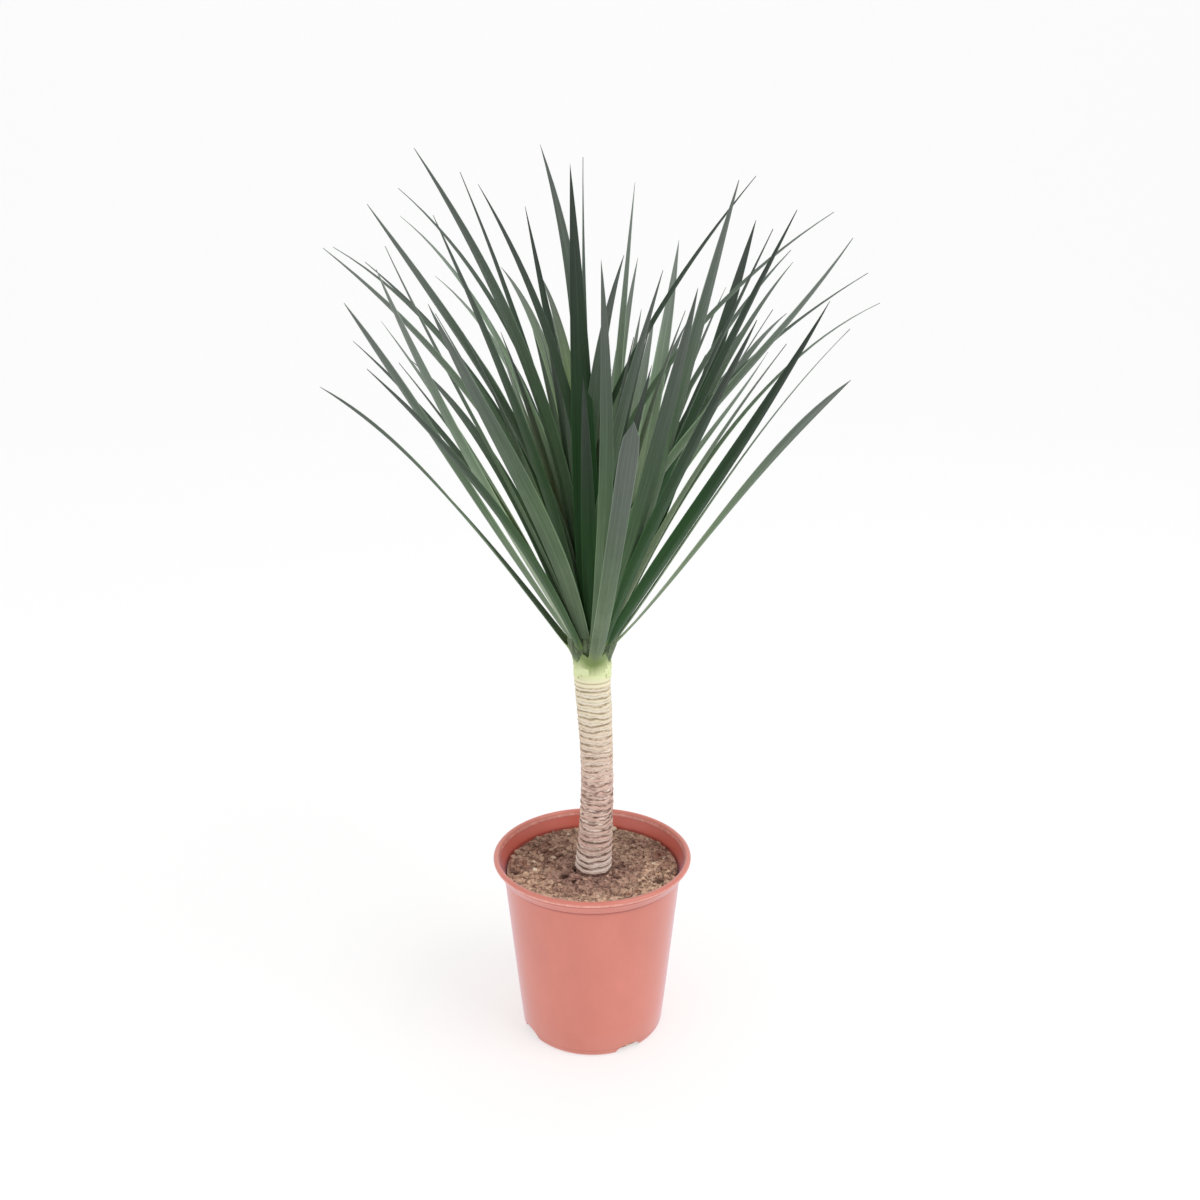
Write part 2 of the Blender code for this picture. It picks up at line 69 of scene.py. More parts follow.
# Leaf tips as seen: pixel across, pixel down, depth behind the stem, width, bend at the root,
# bend at the tip, sway aside, turn of the root and twist in degrees, taper, and tone from dark to
# pale, partly each leaf's own colour and partly painted light and shade
SEEN_LEAVES = (
    (414, 148, -0.12, 0.0166, 0.085, 0.075, -0.004, 0, 10, 3.6, 0.49),
    (398, 188, 0.10, 0.0100, 0.117, 0.120, 0.012, -1, -10, 3.2, 0.47),
    (367, 204, -0.06, 0.0226, 0.099, 0.042, -0.001, 0, 20, 4.0, 0.56),
    (400, 216, 0.16, 0.0092, 0.117, 0.124, 0.006, 0, 0, 4.0, 1.15),
    (433, 215, -0.16, 0.0112, 0.048, 0.029, -0.003, 0, 5, 3.0, 0.33),
    (460, 172, 0.06, 0.0138, 0.056, 0.036, 0.001, 0, 10, 4.0, 0.17),
    (478, 184, -0.18, 0.0092, 0.112, 0.088, -0.025, 2, 10, 3.6, 0.25),
    (525, 206, 0.10, 0.0115, 0.052, 0.017, 0.007, -1, 0, 3.6, 0.08),
    (540, 144, -0.05, 0.0185, 0.022, 0.080, -0.004, 0, 20, 3.0, 0.59),
    (570, 163, -0.14, 0.0235, -0.003, 0.012, -0.002, -4, 0, 2.4, 0.10),
    (583, 157, 0.04, 0.0149, 0.013, 0.013, -0.009, 0, 80, 3.0, 0.36),
    (323, 248, -0.17, 0.0125, 0.134, 0.099, 0.044, 21, 10, 4.0, 0.76),
    (333, 247, 0.04, 0.0105, 0.099, 0.123, -0.001, 0, -15, 4.0, 0.47),
    (365, 262, 0.10, 0.0152, 0.110, 0.092, 0.009, -1, 0, 4.0, 0.35),
    (376, 269, -0.16, 0.0122, -0.009, -0.025, 0.004, -1, 10, 5.0, 0.85),
    (385, 246, -0.03, 0.0140, 0.026, -0.008, 0.000, 0, 15, 3.6, 0.60),
    (344, 303, -0.08, 0.0180, -0.012, 0.000, -0.006, -4, 20, 7.0, 0.58),
    (353, 341, 0.12, 0.0110, 0.058, 0.054, 0.003, 0, 0, 4.0, 0.40),
    (367, 369, -0.24, 0.0103, 0.047, 0.043, -0.003, 0, 10, 4.0, 0.31),
    (381, 321, 0.20, 0.0084, 0.030, 0.030, 0.000, 0, 0, 3.0, 1.15),
    (320, 387, 0.12, 0.0140, 0.026, 0.070, -0.003, 6, 58, 5.0, 0.47),
    (428, 304, -0.24, 0.0172, 0.065, 0.007, -0.003, -1, 5, 3.6, 0.52),
    (435, 276, 0.20, 0.0104, 0.120, 0.118, 0.024, -2, 0, 3.0, 1.14),
    (601, 258, -0.24, 0.0120, 0.002, 0.006, -0.018, -1, 0, 3.6, 0.46),
    (624, 255, -0.16, 0.0128, 0.085, 0.092, 0.027, -2, 10, 4.0, 0.42),
    (635, 182, 0.08, 0.0105, -0.003, 0.012, 0.002, 0, 0, 2.6, 0.96),
    (638, 257, 0.20, 0.0119, 0.059, 0.065, -0.002, 0, 0, 3.2, 0.73),
    (663, 270, -0.20, 0.0121, 0.090, 0.023, 0.018, -5, 10, 3.2, 0.49),
    (679, 240, 0.16, 0.0185, -0.021, -0.015, 0.012, -1, 0, 4.0, 1.14),
    (756, 176, 0.04, 0.0128, 0.180, 0.091, -0.021, 2, 15, 3.0, 0.17),
    (739, 180, -0.12, 0.0184, -0.028, -0.004, -0.004, 0, 5, 5.0, 0.52),
    (756, 220, 0.16, 0.0171, -0.039, -0.014, 0.010, -1, 0, 6.0, 0.19),
    (773, 229, -0.02, 0.0157, 0.030, 0.011, 0.000, 0, 15, 5.0, 0.26),
    (797, 210, -0.08, 0.0193, 0.028, 0.011, 0.001, 0, -10, 4.0, 0.07),
    (834, 212, 0.10, 0.0131, 0.180, 0.107, -0.070, 7, 0, 4.0, 0.57),
    (793, 262, 0.21, 0.0105, 0.041, 0.068, 0.001, 0, 0, 4.0, 0.65),
    (791, 250, 0.03, 0.0132, 0.080, 0.080, 0.000, 0, 10, 5.0, 0.60),
    (853, 238, -0.14, 0.0152, 0.148, 0.011, 0.012, -3, -15, 3.6, 0.77),
    (868, 273, 0.08, 0.0123, 0.164, 0.098, -0.028, 2, 0, 3.6, 0.40),
    (880, 303, 0.09, 0.0096, 0.077, 0.118, 0.006, -1, 0, 3.0, 0.79),
    (830, 301, -0.19, 0.0182, 0.005, -0.014, 0.001, 0, -25, 2.4, 0.03),
    (850, 329, 0.02, 0.0077, -0.004, 0.038, -0.004, -2, -15, 2.6, 0.70),
    (851, 380, -0.02, 0.0124, -0.024, 0.032, -0.028, 33, -62, 9.0, 0.67),
    (787, 313, 0.24, 0.0119, 0.059, 0.098, 0.007, -1, 0, 5.0, 0.67),
    (757, 320, -0.25, 0.0126, 0.016, -0.003, 0.009, -1, 5, 5.0, 0.10),
    (698, 288, -0.26, 0.0143, 0.000, -0.000, -0.008, 1, 5, 5.0, 0.34),
    (726, 287, 0.20, 0.0080, 0.040, 0.040, 0.000, 0, 0, 2.6, 0.60),
    (768, 352, 0.26, 0.0095, 0.122, 0.008, -0.006, 6, 0, 2.6, 1.14),
    (634, 422, -0.33, 0.0126, -0.044, -0.035, 0.004, 0, 0, 40.0, 0.46),
    (501, 267, 0.22, 0.0145, 0.111, 0.127, 0.022, -2, 0, 3.6, 0.70),
    (541, 276, 0.28, 0.0160, 0.110, 0.110, 0.018, 0, 0, 3.0, 0.47),
    (655, 312, 0.20, 0.0180, 0.020, 0.010, 0.000, 0, 0, 3.0, 0.89),
    (524, 296, 0.18, 0.0150, 0.060, 0.060, 0.010, 0, 0, 3.0, 0.59),
)

# Leaves behind, which the others hide, then the short young ones in the middle
BACK_LEAVES = 13
BACK_LEAN_FIRST = math.radians(41.0)
BACK_LEAN_LAST = math.radians(60.0)
BACK_HALF_SPREAD = math.radians(40.0)
BACK_LENGTH = 0.400
BACK_WIDTH = 0.0150
BACK_TAPER = 3.6
BACK_ARCH = 0.08
BACK_TWIST = 0.2
BACK_TONES = (0.2, 0.9)
YOUNG_LEAVES = 12
YOUNG_FIRST_TURN = math.radians(270.0)
YOUNG_LEAN_FIRST = math.radians(2.0)
YOUNG_LEAN_LAST = math.radians(26.0)
YOUNG_LENGTH = 0.280
YOUNG_GROWTH = 0.050
YOUNG_WIDTH = 0.0135
YOUNG_TAPER = 3.0
YOUNG_ARCH = 0.03
YOUNG_TWIST = 0.3
YOUNG_TONES = (0.10, 0.55)
# Painted light: young leaves towards the back are paler
YOUNG_REAR_LIGHT = 0.45
LENGTH_SCATTER = 0.020
LEAF_SEED = 11
TONE_SEED = 3
GOLDEN_ANGLE = math.radians(137.508)
GOLDEN_SHARE = 0.618034

# The extra young leaves: first turn in radians, and their leans in degrees
EXTRA_FIRST_TURN = 1.0
EXTRA_LEAN_FIRST = 6.0
EXTRA_LEAN_SPREAD = 28.0

# Where the leaves root in the growing tip
CROWN_HEIGHT = 0.3750
LOWEST_ROOT = 0.3740
HIGHEST_ROOT = 0.3920
ROOT_RADIUS = 0.0130
INNER_ROOT_RADIUS = 0.0040
WIDEST_LEAN = math.radians(50.0)

# The lowest leaves clasp the stem with a broad pale foot
CLASPING_LEAVES = 15
CLASPING_WIDTH = 0.0125
CLASP_SHARE = 0.075
CLASP_ANGLE = math.radians(104.0)
CLASP_LOWEST = 0.3592
CLASP_RISE = 0.0009
CLASP_RADIUS = 0.0172
CLASP_LAYER = 0.00014
FOOT_SHARE = 0.045
FOOT_PULL = 0.38

# The blade that every leaf is a copy of
BLADE_TAPER = 2.6
OPENING = 0.36
BLADE_NIB = 0.004
BLADE_ROWS = 36
BLADE_COLUMNS = 10
ROW_CROWDING = 1.35
EDGE_THINNING = 0.60
TIP_THINNING = 0.55
THINNEST_SHARE = 0.15
CHANNEL_SLOPE = 0.35
CHANNEL_CURVE = 1.3

# Leaves lean into three rings, and those seen deep in the heart are a fresher green
OUTER_LEAN = 0.56
MIDDLE_LEAN = 0.30
FRESH_SEEN = 0.8
FRESH_YOUNG = 0.9
FRESH_DEPTH = 0.15
FRESH_FADE = 0.13
FRESH_ASIDE = 0.17
FRESH_EDGE = 0.06

# The pot's lip outside and inside, as steps out and up from the foot of its collar
LIP_OUTSIDE = (
    (0.0, -0.0005), (0.0, 0.0002), (0.0024, -0.0002), (0.0033, 0.0002), (0.0037, 0.0010),
    (0.0050, 0.0045), (0.0063, 0.0062), (0.0068, 0.0072), (0.0066, 0.0080),
)
LIP_INSIDE = ((0.0030, 0.0080), (0.0012, 0.0045), (0.0, 0.0010))
WALL_END = 0.012

# Painted shade lines under the collar and in the crease under the top of the lip, and a dark line over the
# floor
COLLAR_SHADE_LINE = 0.0022
LIP_SHADE_LINE = 0.0052
FOOT_DARK_LINE = 0.0058

# The pot's floor, its notches and its drain holes
FLOOR_RING = 0.030
FLOOR_STEP = 0.4
FIRST_NOTCH = math.radians(30.0)
NOTCH_REACH = 0.010
DRAIN_RADIUS = 0.005
DRAIN_DEPTH = 0.010
DRAIN_RING = 0.038
DRAIN_SHIFT = 0.3

# Hollows in the soil: place, width and depth
HOLLOWS = (
    (0.0232, 0.0070, 0.0078, 0.0085), (0.0225, -0.0140, 0.0036, 0.0045),
    (-0.0248, -0.0060, 0.0074, 0.0080), (-0.0170, -0.0190, 0.0032, 0.0040),
    (0.0630, -0.0230, 0.0070, 0.0040), (-0.0750, -0.0060, 0.0060, 0.0040),
)
HOLLOWS_START = 0.0186
HOLLOWS_BELOW = 0.001
BARE_HOLLOW = 0.4

# Lumps in the soil: width, and height as a share of the largest
SOIL_LUMPS = ((0.013, 1.0), (0.0045, 0.5), (0.0020, 0.3))
LUMPS_START = 0.0182
LUMPS_BELOW = 0.009
LUMPS_FADE = 0.004

# The soil's plain form: rings over the top, its edge, the stem's hole, the mound and the bank
SOIL_RINGS = 60
SOIL_EDGE = 0.0002
HOLE_GAP = 0.0009
MOUND_START = 0.0174
BANK_START = 0.035
BANK_WIDTH = 0.045

# Crumbs and chips: form, smallest and largest size, nearest and farthest place
CRUMB_FORM = (1.0, 0.78, 0.52)
CRUMB_SIZES = (0.0009, 0.0050)
CRUMB_REACH = (0.0187, 0.0815)
CRUMB_KINDS = 3
NEAR_CRUMB_SIZES = (0.0016, 0.0046)
NEAR_CRUMB_REACH = (0.0184, 0.0240)
NEAR_CRUMB_PART = 15
CHIP_FORM = (1.0, 0.55, 0.22)
CHIP_SIZES = (0.0018, 0.0060)

# How they fall: the higher the smallness, the fewer are large
SMALLNESS = 3.5
LARGEST_TILT = 0.5
DROP_HEIGHT = 0.3
CRUMB_SEED = 4
CRUMB_FORM_SEED = 3
CHIP_FORM_SEED = 9

# One ring scar and the band over it: share of the spacing, and swelling in scar depths
SCAR_BAND = (
    (0.5, -1.0), (0.58, -0.45), (0.66, 0.05), (0.78, 0.30), (0.95, 0.32), (1.15, 0.22),
    (1.32, 0.02), (1.42, -0.35),
)
FIRST_SCAR = 0.0065
LAST_SCAR = 0.0035
BOW_BELOW = 0.007
BOW_ABOVE = 0.008
BURIED_BELOW = 0.004
RINGS_BELOW = 0.003
RINGS_END = 0.0004
TOP_CHAMFER = 0.0006

# How the rings wander and the bark swells: where it fades, then direction, width and height
WANDER_FADE_LOW = 0.006
WANDER_FADE_HIGH = 0.010
STEM_WANDERS = (("Z", 0.017, 0.0045), ("NORMAL", 0.0075, 0.0012), ("NORMAL", 0.0022, 0.0006))

# The growing tip: radius, and height over the stem's top
TIP_OUTLINE = (
    (0.0164, 0.0005), (0.0169, 0.0012), (0.0170, 0.0024), (0.0168, 0.0036), (0.0163, 0.0041),
    (0.0163, 0.0044), (0.0168, 0.0050), (0.0170, 0.0062), (0.0168, 0.0076), (0.0162, 0.0084),
    (0.0161, 0.0120), (0.0163, 0.0180), (0.0171, 0.0230), (0.0184, 0.0280), (0.0203, 0.0330),
    (0.0222, 0.0380), (0.0232, 0.0430), (0.0222, 0.0500), (0.0185, 0.0580), (0.0120, 0.0660),
)
TIP_HEIGHT = 0.0720
TIP_SIDES = 64

# Colours laid over the main ones: wear, age and tints, and painted highlights, light and shade
# Painted highlight along the pot's rolled edge
PAINTED_EDGE_HIGHLIGHT = (0.92, 0.50, 0.42)
# Darker tint towards the pot's foot
LOW_DARK_TINT = (0.55, 0.30, 0.24)
PURPLE_PEAT = (0.31, 0.165, 0.150)
COOL_CLOD = (0.42, 0.26, 0.24)
PALE_STEM_FOOT = (1.0, 0.90, 0.82)
PALE_PATCH = (0.93, 0.80, 0.68)
# Painted highlight on the stem's swollen ridges
PAINTED_RIDGE_HIGHLIGHT = (1.0, 0.95, 0.86)
WORN_BARK = (0.30, 0.17, 0.12)
OLD_SPOTS = (0.20, 0.09, 0.075)
YOUNG_CRACK = (0.30, 0.215, 0.115)
THIN_CRACK = (0.22, 0.12, 0.08)
YOUNG_THIN_CRACK = (0.38, 0.28, 0.155)
LEAFY_GREEN = (0.095, 0.145, 0.075)
LEAFY_SHADE = (0.018, 0.036, 0.015)
HEART_SHADE = (0.012, 0.026, 0.010)
DRY_SEAM = (0.40, 0.33, 0.16)
GREY_TIP_DARK = (0.032, 0.041, 0.034)
GREY_TIP_PALE = (0.20, 0.22, 0.205)
FRESH_TINT = (1.40, 1.30, 0.55)
# Painted light that brightens the lower leaves
LOW_LEAF_LIGHT_TINT = (2.20, 1.66, 2.20)

# The stage: softboxes by name, place and size, the point that they light, and the floor
SOFTBOXES = (("key", (1.5, -0.9, 2.2), 1.6), ("fill", (-2.0, -1.4, 1.4), 2.0))
LIT_POINT = Vector((0.0, 0.0, 0.4))
FLOOR_SIZE = 12.0
WALL_HEIGHT = 7.0
SWEEP = 2.5
SENSOR_WIDTH = 36.0

# Play between pieces, and the small ring that starts and ends a turned outline
GAP = 0.0003
AXIS_RING = 0.0004

Leaf = namedtuple("Leaf", "tip width low high sway turn twist taper tone fresh")


# Sizes and colours that a user would change


class PotShape(PropertyGroup):
    """Sizes and colour of the nursery pot."""

    height: FloatProperty(
        name="Height", description="Foot to lip", default=POT_BOX[1].z, unit="LENGTH"
    )
    rim: FloatProperty(
        name="Rim radius", description="Outside of the lip", default=POT_BOX[1].x, unit="LENGTH"
    )
    collar: FloatProperty(
        name="Collar", description="Height of the flared collar", default=0.0140, unit="LENGTH"
    )
    roll: FloatProperty(
        name="Roll", description="Radius of the rolled edge", default=0.0027, unit="LENGTH"
    )
    wall_top: FloatProperty(
        name="Wall top radius", description="Wall just under the lip", default=0.0856, unit="LENGTH"
    )
    foot: FloatProperty(
        name="Foot radius", description="Wall at the floor", default=0.0692, unit="LENGTH"
    )
    foot_round: FloatProperty(
        name="Foot round", description="Radius of the foot's corner", default=0.0035, unit="LENGTH"
    )
    foot_flat: FloatProperty(
        name="Foot flat", description="Width of the ring it stands on", default=0.005, unit="LENGTH"
    )
    floor: FloatProperty(
        name="Floor height", description="Underside of the raised floor", default=0.007, unit="LENGTH"
    )
    wall: FloatProperty(
        name="Wall", description="Thickness of the plastic", default=0.0018, unit="LENGTH"
    )
    notch_width: FloatProperty(
        name="Notch width", description="Width of an arched notch", default=0.028, unit="LENGTH"
    )
    notch_height: FloatProperty(
        name="Notch height", description="Height of an arched notch", default=0.0075, unit="LENGTH"
    )
    notches: IntProperty(name="Notches", description="Notches round the foot", default=4)
    drains: IntProperty(name="Drains", description="Round holes in the floor", default=6)
    sides: IntProperty(name="Sides", description="Facets round the pot", default=144)
    colour: FloatVectorProperty(
        name="Colour", description="Terracotta plastic", subtype="COLOR", default=(0.640, 0.190, 0.138)
    )
    # Painted shade: the inner wall is a darker copy of the pot's colour
    inside_shade_colour: FloatVectorProperty(
        name="Inside colour", description="Shaded inner wall", subtype="COLOR",
        default=(0.555, 0.103, 0.066),
    )


class SoilShape(PropertyGroup):
    """Level, lumps and crumbs of the potting soil."""

    level: FloatProperty(
        name="Level", description="Height of the soil's surface", default=0.157, unit="LENGTH"
    )
    mound: FloatProperty(
        name="Mound", description="Rise round the stem", default=0.0035, unit="LENGTH"
    )
    mound_width: FloatProperty(
        name="Mound width", description="How far the rise runs out", default=0.022, unit="LENGTH"
    )
    bank: FloatProperty(
        name="Bank", description="Rise towards the pot's wall", default=0.0055, unit="LENGTH"
    )
    lumps: FloatProperty(
        name="Lumps", description="Height of the larger lumps", default=0.0065, unit="LENGTH"
    )
    hole_depth: FloatProperty(
        name="Hole depth", description="Depth of the stem's hole", default=0.070, unit="LENGTH"
    )
    crumbs: IntProperty(name="Crumbs", description="Loose crumbs on top", default=1500)
    chips: IntProperty(name="Chips", description="Light chips of bark", default=26)
    colour: FloatVectorProperty(
        name="Colour", description="Moist peat", subtype="COLOR", default=(0.330, 0.152, 0.112)
    )
    light_colour: FloatVectorProperty(
        name="Light colour", description="Dry peat", subtype="COLOR", default=(0.95, 0.665, 0.475)
    )
    chip_colour: FloatVectorProperty(
        name="Chip colour", description="Bark chips", subtype="COLOR", default=(1.0, 0.86, 0.66)
    )


class StemShape(PropertyGroup):
    """Radii, bow and leaf scars of the bare stem."""

    top: FloatProperty(
        name="Top", description="Where the leaf bases start", default=STEM_BOX[1].z, unit="LENGTH"
    )
    bow: FloatProperty(
        name="Bow", description="Sideways bow of the stem", default=0.0047, unit="LENGTH"
    )
    buried_radius: FloatProperty(
        name="Buried radius", description="Radius in the soil", default=0.0172, unit="LENGTH"
    )
    low_radius: FloatProperty(
        name="Low radius", description="Radius at the soil", default=0.0174, unit="LENGTH"
    )
    middle_radius: FloatProperty(
        name="Middle radius", description="Radius at the waist", default=0.0150, unit="LENGTH"
    )
    top_radius: FloatProperty(
        name="Top radius", description="Radius under the leaves", default=0.0164, unit="LENGTH"
    )
    scars: IntProperty(name="Scars", description="Ring scars of fallen leaves", default=29)
    scar_depth: FloatProperty(
        name="Scar depth", description="Depth of a ring scar", default=0.0012, unit="LENGTH"
    )
    sides: IntProperty(name="Sides", description="Facets round the stem", default=96)
    top_colour: FloatVectorProperty(
        name="Top colour", description="Young cream bark", subtype="COLOR", default=(0.84, 0.765, 0.565)
    )
    bark_colour: FloatVectorProperty(
        name="Bark colour", description="Old pink brown bark", subtype="COLOR",
        default=(0.745, 0.500, 0.420),
    )
    crack_colour: FloatVectorProperty(
        name="Crack colour", description="Inside of the scars", subtype="COLOR",
        default=(0.085, 0.040, 0.027),
    )


class LeafShape(PropertyGroup):
    """Section and colours of the sword leaves."""

    thickness: FloatProperty(
        name="Thickness", description="Thickness at the rib", default=0.0012, unit="LENGTH"
    )
    channel: FloatProperty(
        name="Channel", description="Rise of the edges as a share of the width", default=0.13
    )
    base_width: FloatProperty(
        name="Base width", description="Width at the root as a share of the widest", default=0.70
    )
    clasp_width: FloatProperty(
        name="Clasp width", description="How much broader the clasping leaves start", default=1.28
    )
    extra_young: IntProperty(
        name="Extra young leaves", description="Leaves that fill the heart", default=16
    )
    upper_colour: FloatVectorProperty(
        name="Upper colour", description="Upper face", subtype="COLOR", default=(0.222, 0.338, 0.185)
    )
    upper_dark: FloatVectorProperty(
        name="Upper dark", description="Upper face of dark leaves", subtype="COLOR",
        default=(0.010, 0.042, 0.009),
    )
    lower_colour: FloatVectorProperty(
        name="Lower colour", description="Lower face", subtype="COLOR", default=(0.225, 0.300, 0.220)
    )
    lower_dark: FloatVectorProperty(
        name="Lower dark", description="Lower face of dark leaves", subtype="COLOR",
        default=(0.010, 0.035, 0.011),
    )
    base_colour: FloatVectorProperty(
        name="Base colour", description="Pale leaf base", subtype="COLOR", default=(0.74, 0.79, 0.46)
    )
    neck_colour: FloatVectorProperty(
        name="Neck colour", description="Fresh green above the base", subtype="COLOR",
        default=(0.23, 0.32, 0.09),
    )


class StageLook(PropertyGroup):
    """Floor and lights."""

    floor_colour: FloatVectorProperty(
        name="Floor", description="Pale studio floor", subtype="COLOR", default=(0.50, 0.50, 0.50)
    )
    key: FloatProperty(name="Key light", description="Power of the main softbox", default=20.0)
    fill: FloatProperty(name="Fill light", description="Power of the second softbox", default=5.0)
    glow: FloatProperty(name="Floor glow", description="Light of the white floor itself", default=0.51)
    room: FloatProperty(name="Room light", description="Brightness of the white room", default=0.87)


# Hand tools


def leave_edit_mode():
    if bpy.context.object and bpy.context.object.mode != "OBJECT":
        bpy.ops.object.mode_set(mode="OBJECT")


def deselect():
    leave_edit_mode()
    bpy.ops.object.select_all(action="DESELECT")


def pick(piece):
    """Makes this the one selected, active object."""
    deselect()
    piece.select_set(True)
    bpy.context.view_layer.objects.active = piece


def apply_modifiers(piece):
    pick(piece)
    for modifier in list(piece.modifiers):
        bpy.ops.object.modifier_apply(modifier=modifier.name)


def apply_place(piece):
    """Moves the object's place, turn and scale into its mesh."""
    pick(piece)
    bpy.ops.object.transform_apply(location=True, rotation=True, scale=True)


def select_points(piece, wanted):
    """Selects, in edit mode, the points whose place passes the test."""
    bpy.ops.object.mode_set(mode="EDIT")
    bpy.ops.mesh.select_mode(type="VERT")
    bpy.ops.mesh.select_all(action="DESELECT")
    shape = bmesh.from_edit_mesh(piece.data)
    for point in shape.verts:
        point.select = wanted(point.co)
    shape.select_flush(True)
    bmesh.update_edit_mesh(piece.data)


def turned(name, profile, sides, lean=None):
    """Draws a circle up ring by ring along a profile of (radius, height), both ends closed."""
    deselect()
    radius, height = profile[0]
    bpy.ops.mesh.primitive_circle_add(vertices=sides, radius=radius, location=(0.0, 0.0, height))
    piece = bpy.context.object
    piece.name = name
    bpy.ops.object.transform_apply(location=True)
    bpy.ops.object.mode_set(mode="EDIT")
    bpy.ops.mesh.select_all(action="SELECT")
    aside = 0.0
    for (near, low), (far, high) in zip(profile, profile[1:]):
        shift = lean(high) - aside if lean else 0.0
        aside += shift
        bpy.ops.mesh.extrude_region_move(TRANSFORM_OT_translate={"value": (shift, 0.0, high - low)})
        grow = far / near
        bpy.ops.transform.resize(value=(grow, grow, 1.0), center_override=(aside, 0.0, high))
    bpy.ops.mesh.merge(type="CENTER")
    start = profile[0][1]
    reach = 4.0 * AXIS_RING
    select_points(piece, lambda co: abs(co.z - start) < 1e-6 and math.hypot(co.x, co.y) < reach)
    bpy.ops.mesh.merge(type="CENTER")
    bpy.ops.mesh.select_all(action="SELECT")
    bpy.ops.mesh.normals_make_consistent(inside=False)
    bpy.ops.object.mode_set(mode="OBJECT")
    return piece


def ease(share):
    """Runs smoothly from none to one as the share does, and stays there."""
    share = min(max(share, 0.0), 1.0)
    return share * share * (3.0 - 2.0 * share)


def arc(centre, radius, start, end, steps):
    """Points of (radius, height) along a round corner, with angles in degrees."""
    points = []
    for i in range(steps + 1):
        angle = math.radians(start + (end - start) * i / steps)
        points.append((centre[0] + radius * math.cos(angle), centre[1] + radius * math.sin(angle)))
    return points


def cut_out(piece, cutters):
    """Takes the cutters out of the piece with one Boolean each."""
    for cutter in cutters:
        hole = piece.modifiers.new("hole", "BOOLEAN")
        hole.operation = "DIFFERENCE"
        hole.object = cutter
        hole.solver = "EXACT"
    apply_modifiers(piece)
    for cutter in cutters:
        bpy.data.objects.remove(cutter, do_unlink=True)


def mark_points(mesh, name, values):
    """Stores a number of this name on each point of a mesh."""
    mark = mesh.attributes.new(name, "FLOAT", "POINT")
    mark.data.foreach_set("value", values)


def copies_joined(name, master, places, tones):
    """One object of a master's copies, each with its own mesh, place and tone."""
    made = []
    for place, tone in zip(places, tones):
        mesh = master.data.copy()
        mesh.transform(place)
        mark_points(mesh, "tone", [tone] * len(mesh.vertices))
        copy = bpy.data.objects.new(name, mesh)
        bpy.context.scene.collection.objects.link(copy)
        made.append(copy)
    return joined(name, made)


def joined(name, parts):
    deselect()
    for part in parts:
        part.select_set(True)
    bpy.context.view_layer.objects.active = parts[0]
    bpy.ops.object.join()
    whole = bpy.context.object
    whole.name = name
    whole.data.name = name
    return whole


def soften(piece, degrees):
    """Smooth shading, with edges sharper than this left crisp."""
    pick(piece)
    bpy.ops.object.shade_smooth_by_angle(angle=math.radians(degrees))


def finish_piece(piece, name, materials, slot, *nodes):
    """Names the piece, gives it its materials and hangs it on the frame."""
    piece.name = name
    piece.data.name = name
    piece.data.materials.clear()
    for material in materials:
        piece.data.materials.append(material)
    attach(piece, "root")
    if nodes:
        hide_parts(*nodes)


# Materials


def add(tree, kind, values=None, **settings):
    """Adds a shader node, with its sockets' values by name and its other settings."""
    made = tree.nodes.new(kind)
    for name, setting in settings.items():
        setattr(made, name, setting)
    for socket, value in (values or {}).items():
        made.inputs[socket].default_value = value
    return made


def colour4(colour):
    return (colour[0], colour[1], colour[2], 1.0)


def new_material(name, roughness, specular):
    """A material with a bare Principled shader, and that shader."""
    material = bpy.data.materials.new(name)
    material.use_nodes = True
    shader = material.node_tree.nodes["Principled BSDF"]
    shader.inputs["Roughness"].default_value = roughness
    shader.inputs["Specular IOR Level"].default_value = specular
    return material, shader


def dress(tree, shader, colour, rough, height, strength, distance):
    """Feeds a shader its colour, its roughness and the bumps of a height."""
    tree.links.new(colour, shader.inputs["Base Color"])
    tree.links.new(rough, shader.inputs["Roughness"])
    bump = add(tree, "ShaderNodeBump", {"Strength": strength, "Distance": distance})
    tree.links.new(height, bump.inputs["Height"])
    tree.links.new(bump.outputs["Normal"], shader.inputs["Normal"])


def group(name, inputs, outputs):
    """An empty shader node group with float sockets, and its two ends."""
    tree = bpy.data.node_groups.new(name, "ShaderNodeTree")
    for socket, value in inputs.items():
        made = tree.interface.new_socket(socket, in_out="INPUT", socket_type="NodeSocketFloat")
        made.default_value = value
    for socket in outputs:
        tree.interface.new_socket(socket, in_out="OUTPUT", socket_type="NodeSocketFloat")
    return tree, tree.nodes.new("NodeGroupInput"), tree.nodes.new("NodeGroupOutput")


def shared(name):
    """The shared node group of this name, built the first time it is asked for."""
    return bpy.data.node_groups.get(name) or GROUPS[name]()


def use_group(tree, name, values):
    """Places a shared node group with its own values, and gives its outputs."""
    node = add(tree, "ShaderNodeGroup", node_tree=shared(name))
    for socket, value in values.items():
        node.inputs[socket].default_value = value
    return node.outputs


def mottled(tree, scale, stretch):
    """The shared mottling at this scale: its mask and its grain."""
    outputs = use_group(tree, "mottle", {"Scale": scale, "Stretch": stretch})
    return outputs["Mask"], outputs["Grain"]


def feed(tree, value, socket):
    """Links a socket into another, or sets a plain number or colour on it."""
    if isinstance(value, bpy.types.NodeSocket):
        tree.links.new(value, socket)
    else:
        socket.default_value = value if isinstance(value, float) else colour4(value)


def mix_colours(tree, factor, first, second, blend="MIX"):
    """Mixes two colours, each a socket or a plain colour, by a socket or number."""
    node = add(tree, "ShaderNodeMix", data_type="RGBA", blend_type=blend)
    for place, value in ((0, factor), (6, first), (7, second)):
        feed(tree, value, node.inputs[place])
    return node.outputs[2]


